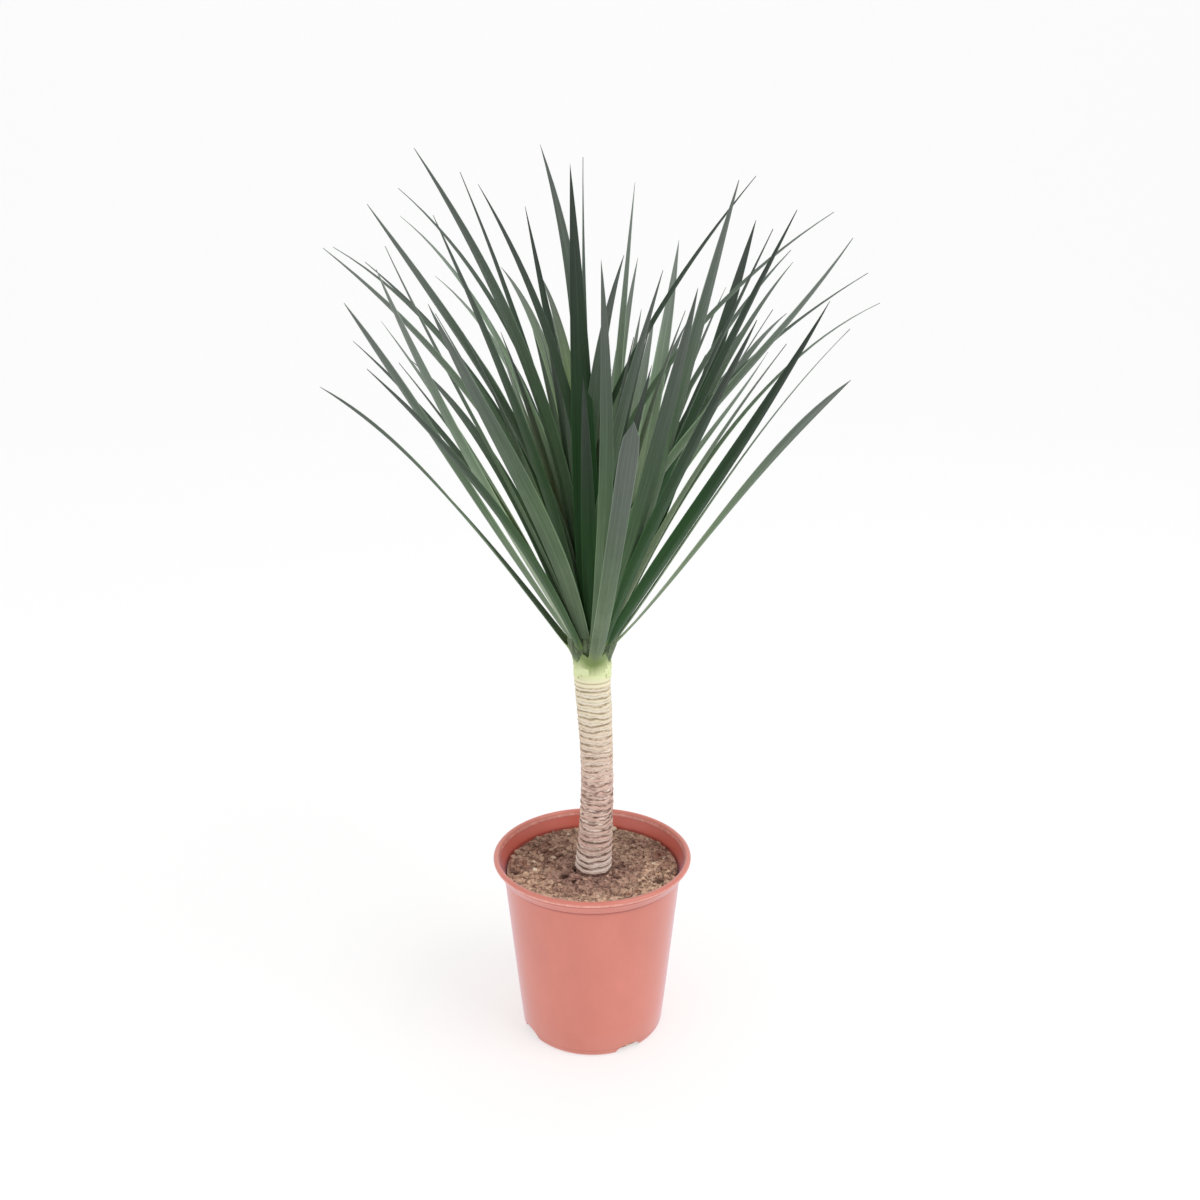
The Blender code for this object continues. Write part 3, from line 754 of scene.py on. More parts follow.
def remap(tree, value, low, high, to_low=0.0, to_high=1.0):
    """Maps a socket's value from one range onto another, clamped."""
    node = add(tree, "ShaderNodeMapRange")
    settings = {"Value": value, "From Min": low, "From Max": high, "To Min": to_low, "To Max": to_high}
    for name, setting in settings.items():
        feed(tree, setting, node.inputs[name])
    return node.outputs["Result"]


def scaled(tree, mask, low, high):
    """A mask from 0 to 1, made to run from low to high."""
    return remap(tree, mask, 0.0, 1.0, low, high)


def maths(tree, operation, *values):
    node = add(tree, "ShaderNodeMath", operation=operation)
    for socket, value in zip(node.inputs, values):
        feed(tree, value, socket)
    return node.outputs[0]


def times(tree, first, second):
    return maths(tree, "MULTIPLY", first, second)


def plus(tree, first, second):
    return maths(tree, "ADD", first, second)


def less(tree, first, second):
    return maths(tree, "SUBTRACT", first, second)


def band(tree, value, middle, full, gone):
    """One at this value and fading to none on both sides of it."""
    return remap(tree, maths(tree, "ABSOLUTE", less(tree, value, middle)), full, gone, 1.0, 0.0)


def noise(tree, vector, scale, detail, roughness):
    """A noise texture's value at a vector."""
    node = add(tree, "ShaderNodeTexNoise", {"Detail": detail, "Roughness": roughness})
    tree.links.new(vector, node.inputs["Vector"])
    feed(tree, scale, node.inputs["Scale"])
    return node.outputs["Fac"]


def own_mark(tree, name):
    """The value that each point of the mesh holds under this name."""
    return add(tree, "ShaderNodeAttribute", attribute_name=name).outputs["Fac"]


def object_place(tree):
    return add(tree, "ShaderNodeTexCoord").outputs["Object"]


def unrolled_place(tree):
    return add(tree, "ShaderNodeUVMap", uv_map="UVMap").outputs["UV"]


def split(tree, vector):
    """The X, Y and Z of a vector."""
    parts = add(tree, "ShaderNodeSeparateXYZ")
    tree.links.new(vector, parts.inputs[0])
    return parts.outputs


def make_mottle():
    """Cloudy mottling on Object coordinates: a mask and a fine grain."""
    tree, start, end = group("mottle", {"Scale": 40.0, "Stretch": 1.0}, ("Mask", "Grain"))
    stretch = add(tree, "ShaderNodeCombineXYZ", {"X": 1.0, "Y": 1.0})
    tree.links.new(start.outputs["Stretch"], stretch.inputs["Z"])
    pulled = add(tree, "ShaderNodeVectorMath", operation="MULTIPLY")
    tree.links.new(object_place(tree), pulled.inputs[0])
    tree.links.new(stretch.outputs[0], pulled.inputs[1])
    cloud = noise(tree, pulled.outputs[0], start.outputs["Scale"], 4.0, 0.6)
    grain = noise(tree, pulled.outputs[0], times(tree, start.outputs["Scale"], 9.0), 3.0, 0.7)
    tree.links.new(remap(tree, cloud, 0.32, 0.68), end.inputs["Mask"])
    tree.links.new(remap(tree, grain, 0.25, 0.75), end.inputs["Grain"])
    return tree


def make_leaf_marks():
    """Marks on a leaf: veins, rib, edge and tip by its UV map, pale base and fresh neck by height."""
    tree, start, end = group(
        "leaf_marks",
        {"Veins": 30.0, "Low": 0.364, "High": 0.382},
        ("Veins", "Rib", "Edge", "Base", "Neck", "Tip"),
    )
    low, high = start.outputs["Low"], start.outputs["High"]
    unrolled = split(tree, unrolled_place(tree))
    along, across = unrolled["X"], unrolled["Y"]
    spot = add(tree, "ShaderNodeCombineXYZ")
    tree.links.new(times(tree, along, 5.0), spot.inputs["X"])
    tree.links.new(times(tree, across, start.outputs["Veins"]), spot.inputs["Y"])
    tree.links.new(times(tree, own_mark(tree, "tone"), 37.0), spot.inputs["Z"])
    lines = noise(tree, spot.outputs[0], 1.0, 3.0, 0.65)
    off_middle = maths(tree, "ABSOLUTE", less(tree, across, 0.5))
    dip = times(tree, off_middle, -0.022)
    ragged = times(tree, lines, 0.007)
    level = plus(tree, plus(tree, split(tree, object_place(tree))["Z"], dip), ragged)
    for mark, value in (
        ("Veins", remap(tree, lines, 0.3, 0.7)),
        ("Rib", remap(tree, off_middle, 0.0, 0.055, 1.0, 0.0)),
        ("Edge", remap(tree, off_middle, 0.44, 0.5)),
        ("Tip", remap(tree, along, 0.52, 0.92)),
        ("Base", remap(tree, level, low, high, 1.0, 0.0)),
        ("Neck", remap(tree, level, high, plus(tree, high, 0.022), 1.0, 0.0)),
    ):
        tree.links.new(value, end.inputs[mark])
    return tree


def leaf_material(name, leaf, dark, pale, roughness):
    """One face of the leaves: dark to pale by leaf, partly painted light and shade, veined, with a pale
    base, painted light low down, painted highlights on the edges and a grey tip.
    """
    material, shader = new_material(name, roughness, 0.10)
    tree = material.node_tree
    marks = use_group(tree, "leaf_marks", {"Veins": 26.0, "Low": 0.3650, "High": 0.3785})
    cloud, grain = mottled(tree, 14.0, 0.35)
    tone = own_mark(tree, "tone")
    look = mix_colours(tree, maths(tree, "POWER", tone, 1.9), dark, pale)
    yellow = [part * colour for part, colour in zip(FRESH_TINT, pale)]
    look = mix_colours(tree, scaled(tree, own_mark(tree, "fresh"), 0.0, 0.40), look, yellow)
    look = mix_colours(tree, scaled(tree, cloud, 0.0, 0.35), look, dark)
    # Painted light: leaves brighten downwards from 0.61 m to 0.43 m high
    painted_low_light = mix_colours(tree, 1.0, look, LOW_LEAF_LIGHT_TINT, "MULTIPLY")
    height = split(tree, object_place(tree))["Z"]
    look = mix_colours(tree, remap(tree, height, 0.61, 0.43), look, painted_low_light)
    grey = mix_colours(tree, tone, GREY_TIP_DARK, GREY_TIP_PALE)
    look = mix_colours(tree, remap(tree, marks["Tip"], 0.12, 1.0, 0.0, 0.88), look, grey)
    shade = scaled(tree, marks["Veins"], 0.76, 1.34)
    shade = times(tree, shade, scaled(tree, marks["Rib"], 1.0, 1.22))
    # Painted highlight: the leaf edges are lightened
    shade = times(tree, shade, scaled(tree, marks["Edge"], 1.0, 1.80))
    look = mix_colours(tree, 1.0, look, shade, "MULTIPLY")
    look = mix_colours(tree, scaled(tree, marks["Neck"], 0.0, 0.75), look, leaf.neck_colour)
    look = mix_colours(tree, marks["Base"], look, leaf.base_colour)
    rough = scaled(tree, grain, roughness - 0.06, roughness + 0.10)
    dress(tree, shader, look, rough, plus(tree, marks["Veins"], marks["Rib"]), 0.35, 0.0003)
    return material


def pot_material(name, colour, pot):
    """Moulded terracotta plastic: faint clouding, a painted highlight on the rolled edge, painted shade
    lines under the lip, a dark line over the floor, darker low down, fine grain.
    """
    material, shader = new_material(name, 0.36, 0.5)
    shader.inputs["Sheen Weight"].default_value = 0.48
    shader.inputs["Sheen Roughness"].default_value = 0.30
    shader.inputs["Sheen Tint"].default_value = (0.86, 0.76, 1.0, 1.0)
    shader.inputs["Coat Weight"].default_value = 0.35
    shader.inputs["Coat Roughness"].default_value = 0.16
    tree = material.node_tree
    cloud, grain = mottled(tree, 18.0, 0.6)
    height = split(tree, object_place(tree))["Z"]
    pale = [min(1.0, 1.12 * c + 0.02) for c in colour]
    deep = [0.88 * c for c in colour]
    shade = [0.45 * colour[0], 0.30 * colour[1], 0.30 * colour[2]]
    look = mix_colours(tree, scaled(tree, cloud, 0.15, 0.60), deep, pale)
    # Painted highlight: a lighter band along the rolled edge, broken by the grain
    edge = band(tree, height, pot.height - 1.4 * pot.roll, 0.0004, 0.0022)
    worn = times(tree, edge, remap(tree, grain, 0.2, 0.8, 0.25, 0.75))
    look = mix_colours(tree, worn, look, PAINTED_EDGE_HIGHLIGHT)
    # Painted shade: dark lines under the collar and in the crease under the rolled top, and a dark line
    # over the floor
    for level, full, gone, depth in (
        (pot.height - pot.collar - COLLAR_SHADE_LINE, 0.0004, 0.0022, 0.60),
        (pot.height - LIP_SHADE_LINE, 0.0002, 0.0012, 0.28),
        (FOOT_DARK_LINE, 0.0001, 0.0006, 0.45),
    ):
        dark_line = times(tree, band(tree, height, level, full, gone), depth)
        look = mix_colours(tree, dark_line, look, shade)
    # Darker towards the bottom, in clouds
    dust = times(tree, remap(tree, height, 0.0, 0.030, 0.35, 0.0), cloud)
    look = mix_colours(tree, dust, look, LOW_DARK_TINT)
    dress(tree, shader, look, scaled(tree, cloud, 0.32, 0.44), grain, 0.12, 0.0004)
    return material


def away_from_middle(tree, place):
    """The distance of a place from the upright middle line."""
    flat = add(tree, "ShaderNodeVectorMath", {1: (1.0, 1.0, 0.0)}, operation="MULTIPLY")
    tree.links.new(place, flat.inputs[0])
    away = add(tree, "ShaderNodeVectorMath", operation="LENGTH")
    tree.links.new(flat.outputs[0], away.inputs[0])
    return away.outputs["Value"]


def soil_material(name, dark, light, spread):
    """Peat: clods with painted shade in the gaps, dry tan patches, hollows darkened partly as damp and
    partly as painted shade, painted shade towards the back, grit and each crumb's own tone.
    """
    material, shader = new_material(name, 0.95, 0.15)
    tree = material.node_tree
    field, _ = mottled(tree, 16.0, 0.3)
    clods, clod_grain = mottled(tree, 92.0, 1.0)
    grit, dust = mottled(tree, 330.0, 1.0)
    place = object_place(tree)
    dry = plus(tree, times(tree, field, 0.70), times(tree, clods, 0.40))
    dry = plus(tree, dry, times(tree, own_mark(tree, "tone"), spread))
    look = mix_colours(tree, remap(tree, dry, 0.06, 1.04), dark, light)
    near = remap(tree, away_from_middle(tree, place), 0.026, 0.056, 0.55, 0.0)
    look = mix_colours(tree, near, look, PURPLE_PEAT)
    cool = times(tree, remap(tree, clod_grain, 0.55, 0.80), 0.40)
    look = mix_colours(tree, cool, look, COOL_CLOD)
    look = mix_colours(tree, remap(tree, grit, 0.45, 1.0, 0.0, 0.38), look, [0.40 * c for c in dark])
    look = mix_colours(tree, remap(tree, grit, 0.22, 0.0, 0.0, 0.55), look, light)
    # Painted shade in the gaps between clods, which the bump also sinks
    painted_shade_gaps = times(tree, band(tree, clods, 0.42, 0.02, 0.11), 0.55)
    look = mix_colours(tree, painted_shade_gaps, look, [0.28 * c for c in dark])
    # Darker in the hollows, partly as damp peat and partly as painted shade, and painted shade darkening
    # towards the back
    deep = remap(tree, own_mark(tree, "hollow"), 0.25, 0.75, 0.0, 0.90)
    back = remap(tree, split(tree, place)["Y"], -0.020, 0.060, 0.0, 0.42)
    look = mix_colours(tree, maths(tree, "MAXIMUM", deep, back), look, [0.30 * c for c in dark])
    raised = less(tree, clods, times(tree, painted_shade_gaps, 0.8))
    raised = less(tree, raised, times(tree, grit, 0.5))
    dress(tree, shader, look, scaled(tree, dust, 0.85, 1.0), raised, 1.0, 0.0016)
    return material


def stem_material(stem, soil):
    """Bark from soil stain through pink brown to cream: dark broken scars under ridges with a painted
    highlight.
    """
    material, shader = new_material("stem_bark", 0.80, 0.25)
    tree = material.node_tree
    patch, _ = mottled(tree, 75.0, 2.2)
    dashes, _ = mottled(tree, 110.0, 4.0)
    fine, grain = mottled(tree, 260.0, 3.0)
    height = split(tree, object_place(tree))["Z"]
    scar_count = split(tree, unrolled_place(tree))["Y"]

    # Bark between the scars, by age
    young = remap(tree, height, 0.255, 0.335)
    old_foot = remap(tree, height, 0.215, 0.190)
    look = mix_colours(tree, young, stem.bark_colour, stem.top_colour)
    # Paler towards the soil
    low = times(tree, remap(tree, height, 0.190, 0.172), 0.85)
    look = mix_colours(tree, low, look, PALE_STEM_FOOT)
    look = mix_colours(tree, scaled(tree, patch, 0.0, 0.45), look, PALE_PATCH)

    # Where each scar runs, and a painted highlight on the ridge over it
    loose_top = remap(tree, height, 0.250, 0.320, 0.45, 0.22)
    loose_foot = remap(tree, height, 0.175, 0.215, 0.16, 0.45)
    wander = times(tree, patch, maths(tree, "MINIMUM", loose_top, loose_foot))
    wandering = plus(tree, scar_count, wander)
    ring = maths(tree, "FRACT", wandering)
    ridge_highlight = times(tree, band(tree, ring, 0.82, 0.10, 0.26), remap(tree, height, 0.178, 0.215, 1.0, 0.45))
    ridge_highlight = times(tree, ridge_highlight, remap(tree, fine, 0.10, 0.60, 0.45, 1.0))
    look = mix_colours(tree, ridge_highlight, look, PAINTED_RIDGE_HIGHLIGHT)
    worn = times(tree, remap(tree, fine, 0.35, 1.0, 0.0, 0.30), scaled(tree, young, 1.0, 0.35))
    look = mix_colours(tree, worn, look, WORN_BARK)
    spots = times(
        tree, band(tree, height, 0.232, 0.012, 0.034), remap(tree, dashes, 0.50, 0.80, 0.0, 0.80)
    )
    look = mix_colours(tree, spots, look, OLD_SPOTS)

    # The scars, broken into dashes, and a thin crack between each two
    dash = remap(tree, dashes, 0.20, 0.65, 0.05, 1.0)
    dash = maths(tree, "MAXIMUM", dash, times(tree, old_foot, 0.55))
    dash = maths(tree, "MAXIMUM", dash, times(tree, young, 0.45))
    wide = times(tree, band(tree, ring, 0.50, 0.05, 0.22), old_foot)
    scar = times(tree, maths(tree, "MAXIMUM", band(tree, ring, 0.52, 0.05, 0.17), wide), dash)
    scar = times(tree, scar, remap(tree, height, 0.185, 0.240, 0.90, 0.66))
    look = mix_colours(tree, scar, look, mix_colours(tree, young, stem.crack_colour, YOUNG_CRACK))
    between = maths(tree, "FRACT", plus(tree, times(tree, wandering, 2.0), 0.46))
    thin = times(tree, band(tree, between, 0.5, 0.05, 0.18), dash)
    thin = times(tree, thin, remap(tree, fine, 0.10, 0.60, 0.40, 1.0))
    strong = remap(tree, height, 0.200, 0.320, 0.48, 0.66)
    thin = times(tree, thin, maths(tree, "MAXIMUM", strong, times(tree, old_foot, 0.3)))
    look = mix_colours(tree, thin, look, mix_colours(tree, young, THIN_CRACK, YOUNG_THIN_CRACK))

    # Soil stain at the foot
    stain = remap(tree, plus(tree, height, times(tree, wander, 0.010)), 0.1665, 0.1625)
    look = mix_colours(tree, times(tree, stain, 0.85), look, soil.colour)
    dress(tree, shader, look, scaled(tree, grain, 0.70, 0.92), fine, 0.7, 0.0007)
    return material


def neck_material(leaf, stem):
    """Clasping leaf bases: cream at the stem, then leaf green above a ragged row of points."""
    material, shader = new_material("leaf_bases", 0.52, 0.15)
    tree = material.node_tree
    cloud, grain = mottled(tree, 70.0, 0.5)
    blades, _ = mottled(tree, 260.0, 0.06)
    height = split(tree, object_place(tree))["Z"]
    ragged = plus(tree, height, times(tree, cloud, 0.004))
    look = mix_colours(tree, remap(tree, height, 0.3570, 0.3630), stem.top_colour, leaf.base_colour)
    look = mix_colours(tree, remap(tree, ragged, 0.3690, 0.3770), look, leaf.neck_colour)
    leafy = mix_colours(tree, remap(tree, blades, 0.25, 0.75), LEAFY_GREEN, LEAFY_SHADE)
    look = mix_colours(tree, remap(tree, ragged, 0.373, 0.383), look, leafy)
    look = mix_colours(tree, remap(tree, height, 0.396, 0.406), look, HEART_SHADE)
    seam = maths(tree, "ABSOLUTE", less(tree, height, 0.3566))
    look = mix_colours(tree, remap(tree, seam, 0.0002, 0.0011, 0.75, 0.0), look, DRY_SEAM)
    look = mix_colours(tree, remap(tree, grain, 0.2, 0.8, 0.0, 0.12), look, leaf.base_colour)
    dress(tree, shader, look, scaled(tree, grain, 0.42, 0.58), cloud, 0.3, 0.0004)
    return material


# Pot


def wall_radius(pot, height):
    """Outer radius of the pot's tapered wall at this height."""
    return pot.foot + (pot.wall_top - pot.foot) * height / (pot.height - WALL_END)


def pot_profile(pot):
    """From under the floor, round the foot, up the wall, out over the rolled edge and down inside."""
    foot_out = pot.foot - pot.foot_round
    foot_in = foot_out - pot.foot_flat
    step_in = foot_in - pot.floor * FLOOR_STEP
    collar = pot.height - pot.collar
    under = wall_radius(pot, collar)
    inside = pot.floor + pot.wall
    points = [(AXIS_RING, pot.floor), (FLOOR_RING, pot.floor), (step_in, pot.floor), (foot_in, 0.0)]
    points += arc((foot_out, pot.foot_round), pot.foot_round, -90.0, 0.0, 6)
    for share in (0.2, 0.4, 0.6, 0.8, 0.985):
        points.append((wall_radius(pot, collar * share), collar * share))
    points += [(under + out, collar + up) for out, up in LIP_OUTSIDE]
    points += arc((pot.rim - pot.roll, pot.height - pot.roll), pot.roll, -42.0, 175.0, 16)
    points += [(under + out, collar + up) for out, up in LIP_INSIDE]
    points.append((under - 0.6 * pot.wall, collar - 0.0020))
    for share in (0.95, 0.6):
        points.append((wall_radius(pot, collar * share) - pot.wall, collar * share))
    points += [(pot.foot - pot.wall, pot.foot_round), (foot_out, pot.wall), (foot_in + pot.wall, pot.wall)]
    points += [(step_in, inside), (FLOOR_RING, inside), (AXIS_RING, inside)]
    return points


def notch_cutters(pot):
    """Rods with an arched section that point outward through the foot."""
    cutters = []
    inner = pot.foot - pot.foot_round - pot.foot_flat * 0.7
    length = pot.foot + NOTCH_REACH - inner
    middle = inner + 0.5 * length
    for i in range(pot.notches):
        turn = FIRST_NOTCH + math.tau * i / pot.notches
        deselect()
        bpy.ops.mesh.primitive_cylinder_add(
            vertices=48,
            radius=1.0,
            depth=length,
            location=(middle * math.cos(turn), middle * math.sin(turn), 0.0),
            rotation=(0.0, math.pi / 2.0, turn),
        )
        cutter = bpy.context.object
        cutter.scale = (pot.notch_height, pot.notch_width / 2.0, 1.0)
        bpy.ops.object.transform_apply(location=False, rotation=False, scale=True)
        cutters.append(cutter)
    return cutters


def drain_cutters(pot):
    """Rods through the floor for the round drain holes."""
    cutters = []
    for i in range(pot.drains):
        turn = math.tau * (i + DRAIN_SHIFT) / pot.drains
        deselect()
        bpy.ops.mesh.primitive_cylinder_add(
            vertices=32,
            radius=DRAIN_RADIUS,
            depth=DRAIN_DEPTH,
            location=(DRAIN_RING * math.cos(turn), DRAIN_RING * math.sin(turn), pot.floor),
        )
        cutters.append(bpy.context.object)
    return cutters


# Soil


def hollow_shares(x, y):
    """For each hollow, one in its middle, fading to none outside."""
    shares = []
    for across, along, wide, _ in HOLLOWS:
        shares.append(math.exp(-(math.hypot(x - across, y - along) / wide) ** 2))
    return shares


def hollow_depth(x, y):
    return sum(deep * share for (*_, deep), share in zip(HOLLOWS, hollow_shares(x, y)))


def soil_height(soil, x, y):
    """The soil's surface with its mound round the stem and its bank at the pot's wall."""
    away = math.hypot(x, y)
    mound = soil.mound * math.exp(-(((away - MOUND_START) / soil.mound_width) ** 2))
    return soil.level + mound + soil.bank * ease((away - BANK_START) / BANK_WIDTH)


def soil_profile(pot, soil, stem):
    """From under the soil's middle, up the pot's inner wall, over the top and down the stem's hole."""
    foot_out = pot.foot - pot.foot_round
    foot_in = foot_out - pot.foot_flat
    hole = stem.buried_radius + HOLE_GAP
    rim = wall_radius(pot, soil.level) - pot.wall - GAP
    bottom = pot.floor + pot.wall + GAP
    points = [(AXIS_RING, bottom), (foot_in - pot.floor * FLOOR_STEP + GAP * 0.6, bottom)]
    points.append((foot_in + pot.wall + GAP, pot.wall + GAP))
    points.append((foot_out - GAP, pot.wall + GAP))
    points.append((pot.foot - pot.wall - GAP, pot.foot_round + GAP))
    points.append((wall_radius(pot, 0.6 * soil.level) - pot.wall - GAP, 0.6 * soil.level))
    points.append((rim, soil.level - 0.002))
    for step in range(SOIL_RINGS + 1):
        radius = rim - SOIL_EDGE + (hole - rim + SOIL_EDGE) * step / SOIL_RINGS
        points.append((radius, soil_height(soil, radius, 0.0)))
    floor = soil.level - soil.hole_depth
    points += [(hole, floor), (AXIS_RING, floor)]
    return points


def displace(piece, where, texture, size, depth, direction, high):
    """Adds a push by a cloud texture, as much in as out, to a vertex group's points."""
    cloud = bpy.data.textures.new(texture, "CLOUDS")
    cloud.noise_scale = size
    cloud.noise_depth = depth
    push = piece.modifiers.new(texture, "DISPLACE")
    push.texture = cloud
    push.texture_coords = "LOCAL"
    push.direction = direction
    push.strength = high
    push.mid_level = 0.5
    push.vertex_group = where


def roughen_soil(bed, soil):
    """Sinks the hollows, then raises lumps on the soil's top, none at the pot's wall."""
    for point in bed.data.vertices:
        if point.co.z > soil.level - HOLLOWS_BELOW and math.hypot(point.co.x, point.co.y) > HOLLOWS_START:
            point.co.z -= hollow_depth(point.co.x, point.co.y)
    top = bed.vertex_groups.new(name="top")
    edge = max(math.hypot(p.co.x, p.co.y) for p in bed.data.vertices)
    for point in bed.data.vertices:
        away = math.hypot(point.co.x, point.co.y)
        if point.co.z > soil.level - LUMPS_BELOW and away > LUMPS_START:
            weight = min(1.0, (edge - away) / LUMPS_FADE)
            top.add([point.index], max(weight, 0.0), "REPLACE")
    for size, share in SOIL_LUMPS:
        displace(bed, "top", "soil_lumps", size, 2, "Z", share * soil.lumps)
    apply_modifiers(bed)
    mark_points(bed.data, "hollow", [max(hollow_shares(p.co.x, p.co.y)) for p in bed.data.vertices])


def crumb_master(name, size, seed, scatter):
    """One crumb: a cube cut once, rounded and knocked out of true."""
    deselect()
    bpy.ops.mesh.primitive_cube_add(size=1.0)
    crumb = bpy.context.object
    crumb.name = name
    crumb.scale = size
    bpy.ops.object.transform_apply(scale=True)
    bpy.ops.object.mode_set(mode="EDIT")
    bpy.ops.mesh.subdivide(number_cuts=1, smoothness=1.0)
    bpy.ops.transform.vertex_random(offset=scatter, uniform=1.0, seed=seed)
    bpy.ops.object.mode_set(mode="OBJECT")
    return crumb


def scattered(bed, count, draw, sizes, sink, reach=CRUMB_REACH):
    """Random places on the soil's surface: a size, a turn and a part sunk in."""
    places = []
    while len(places) < count:
        away = math.sqrt(draw.uniform(reach[0] ** 2, reach[1] ** 2))
        turn = draw.uniform(0.0, math.tau)
        x, y = away * math.cos(turn), away * math.sin(turn)
        hit, spot, _, _ = bed.ray_cast(Vector((x, y, DROP_HEIGHT)), Vector((0.0, 0.0, -1.0)))
        size = sizes[0] + (sizes[1] - sizes[0]) * draw.random() ** SMALLNESS
        tilt = Matrix.Rotation(draw.uniform(-LARGEST_TILT, LARGEST_TILT), 4, "X")
        spin = Matrix.Rotation(draw.uniform(0.0, math.tau), 4, "Z")
        if hit and max(hollow_shares(x, y)) < BARE_HOLLOW:
            lift = Vector((0.0, 0.0, size * sink))
            places.append(Matrix.Translation(spot + lift) @ spin @ tilt @ Matrix.Scale(size, 4))
    return places


# Stem and growing tip


def stem_lean(stem, level, height):
    """How far the stem's middle line bows to +X at this height."""
    start = level - BOW_BELOW
    end = stem.top + BOW_ABOVE
    share = min(max((height - start) / (end - start), 0.0), 1.0)
    return stem.bow * math.sin(math.pi * share)


def stem_radius(stem, level, height):
    """Radius of the stem without its scars: a little waist in the middle."""
    share = (height - level) / (stem.top - level)
    ends = stem.low_radius + (stem.top_radius - stem.low_radius) * share
    waist = (stem.low_radius + stem.top_radius) / 2.0 - stem.middle_radius
    return ends - waist * math.sin(math.pi * min(max(share, 0.0), 1.0)) ** 1.2


def stem_profile(stem, soil):
    """Buried end, then ring after ring: a swollen band and a sharp scar under it."""
    level = soil.level
    spacing = (stem.top - LAST_SCAR - level - FIRST_SCAR) / (stem.scars - 1)
    bottom = level - soil.hole_depth + GAP
    points = [(AXIS_RING, bottom), (stem.buried_radius, bottom), (stem.buried_radius, level - BURIED_BELOW)]
    height = level + FIRST_SCAR - 0.5 * spacing
    for _ in range(stem.scars):
        for share, swell in SCAR_BAND:
            at = height + share * spacing
            if level - RINGS_BELOW < at < stem.top - RINGS_END:
                points.append((stem_radius(stem, level, at) + swell * stem.scar_depth, at))
        height += spacing
    points += [(stem.top_radius - TOP_CHAMFER, stem.top), (AXIS_RING, stem.top)]
    return points, spacing


def unroll(piece, middle, first, spacing):
    """A UV map round the stem: turns across and ring scars up, a scar at each half."""
    while piece.data.uv_layers:
        piece.data.uv_layers.remove(piece.data.uv_layers[0])
    layer = piece.data.uv_layers.new(name="UVMap")
    for face in piece.data.polygons:
        turns = []
        for loop in face.loop_indices:
            place = piece.data.vertices[piece.data.loops[loop].vertex_index].co
            turns.append(math.atan2(place.y, place.x - middle(place.z)) / (2.0 * math.pi))
        wraps = max(turns) - min(turns) > 0.5
        for loop, turn in zip(face.loop_indices, turns):
            place = piece.data.vertices[piece.data.loops[loop].vertex_index].co
            turn += 1.0 if wraps and turn < 0.0 else 0.0
            layer.data[loop].uv = (turn, (place.z - first) / spacing + 0.5)


def weather_stem(piece, soil, stem):
    """Makes the rings wander up and down and the bark uneven, both fading out at the ends."""
    bare = piece.vertex_groups.new(name="bare")
    for point in piece.data.vertices:
        low, high = point.co.z - soil.level, stem.top - point.co.z
        weight = min(low / WANDER_FADE_LOW, high / WANDER_FADE_HIGH, 1.0)
        if weight > 0.0:
            bare.add([point.index], weight, "REPLACE")
    for direction, size, push in STEM_WANDERS:
        displace(piece, "bare", "stem_wander", size, 1, direction, push)
    apply_modifiers(piece)


def crown_middle(stem, level):
    return Vector((stem_lean(stem, level, stem.top), 0.0, CROWN_HEIGHT))


def neck_profile(stem):
    """Two fresh scar rings on the stem, then the growing tip that the leaves clasp."""
    top = stem.top
    points = [(AXIS_RING, top + GAP), (stem.top_radius - TOP_CHAMFER, top + GAP)]
    points += [(radius, top + height) for radius, height in TIP_OUTLINE]
    points.append((AXIS_RING, top + TIP_HEIGHT))
    return points


# Leaves


def seen_tip(across, down, depth):
    """The place of a leaf tip: where its line of sight is this far behind the stem."""
    ahead = Vector((math.sin(EYE_YAW), math.cos(EYE_YAW), 0.0)) * math.cos(EYE_PITCH)
    ahead.z = -math.sin(EYE_PITCH)
    right = Vector((math.cos(EYE_YAW), -math.sin(EYE_YAW), 0.0))
    above = right.cross(ahead)
    middle = PICTURE_SIZE / 2.0
    sight = ahead * FOCAL_PIXELS + right * (across - middle) + above * (middle - down)
    return EYE + sight * ((depth - EYE.y) / sight.y)


def leaned_tip(middle, turn, lean, length):
    flat = length * math.sin(lean)
    return middle + Vector((flat * math.cos(turn), flat * math.sin(turn), length * math.cos(lean)))


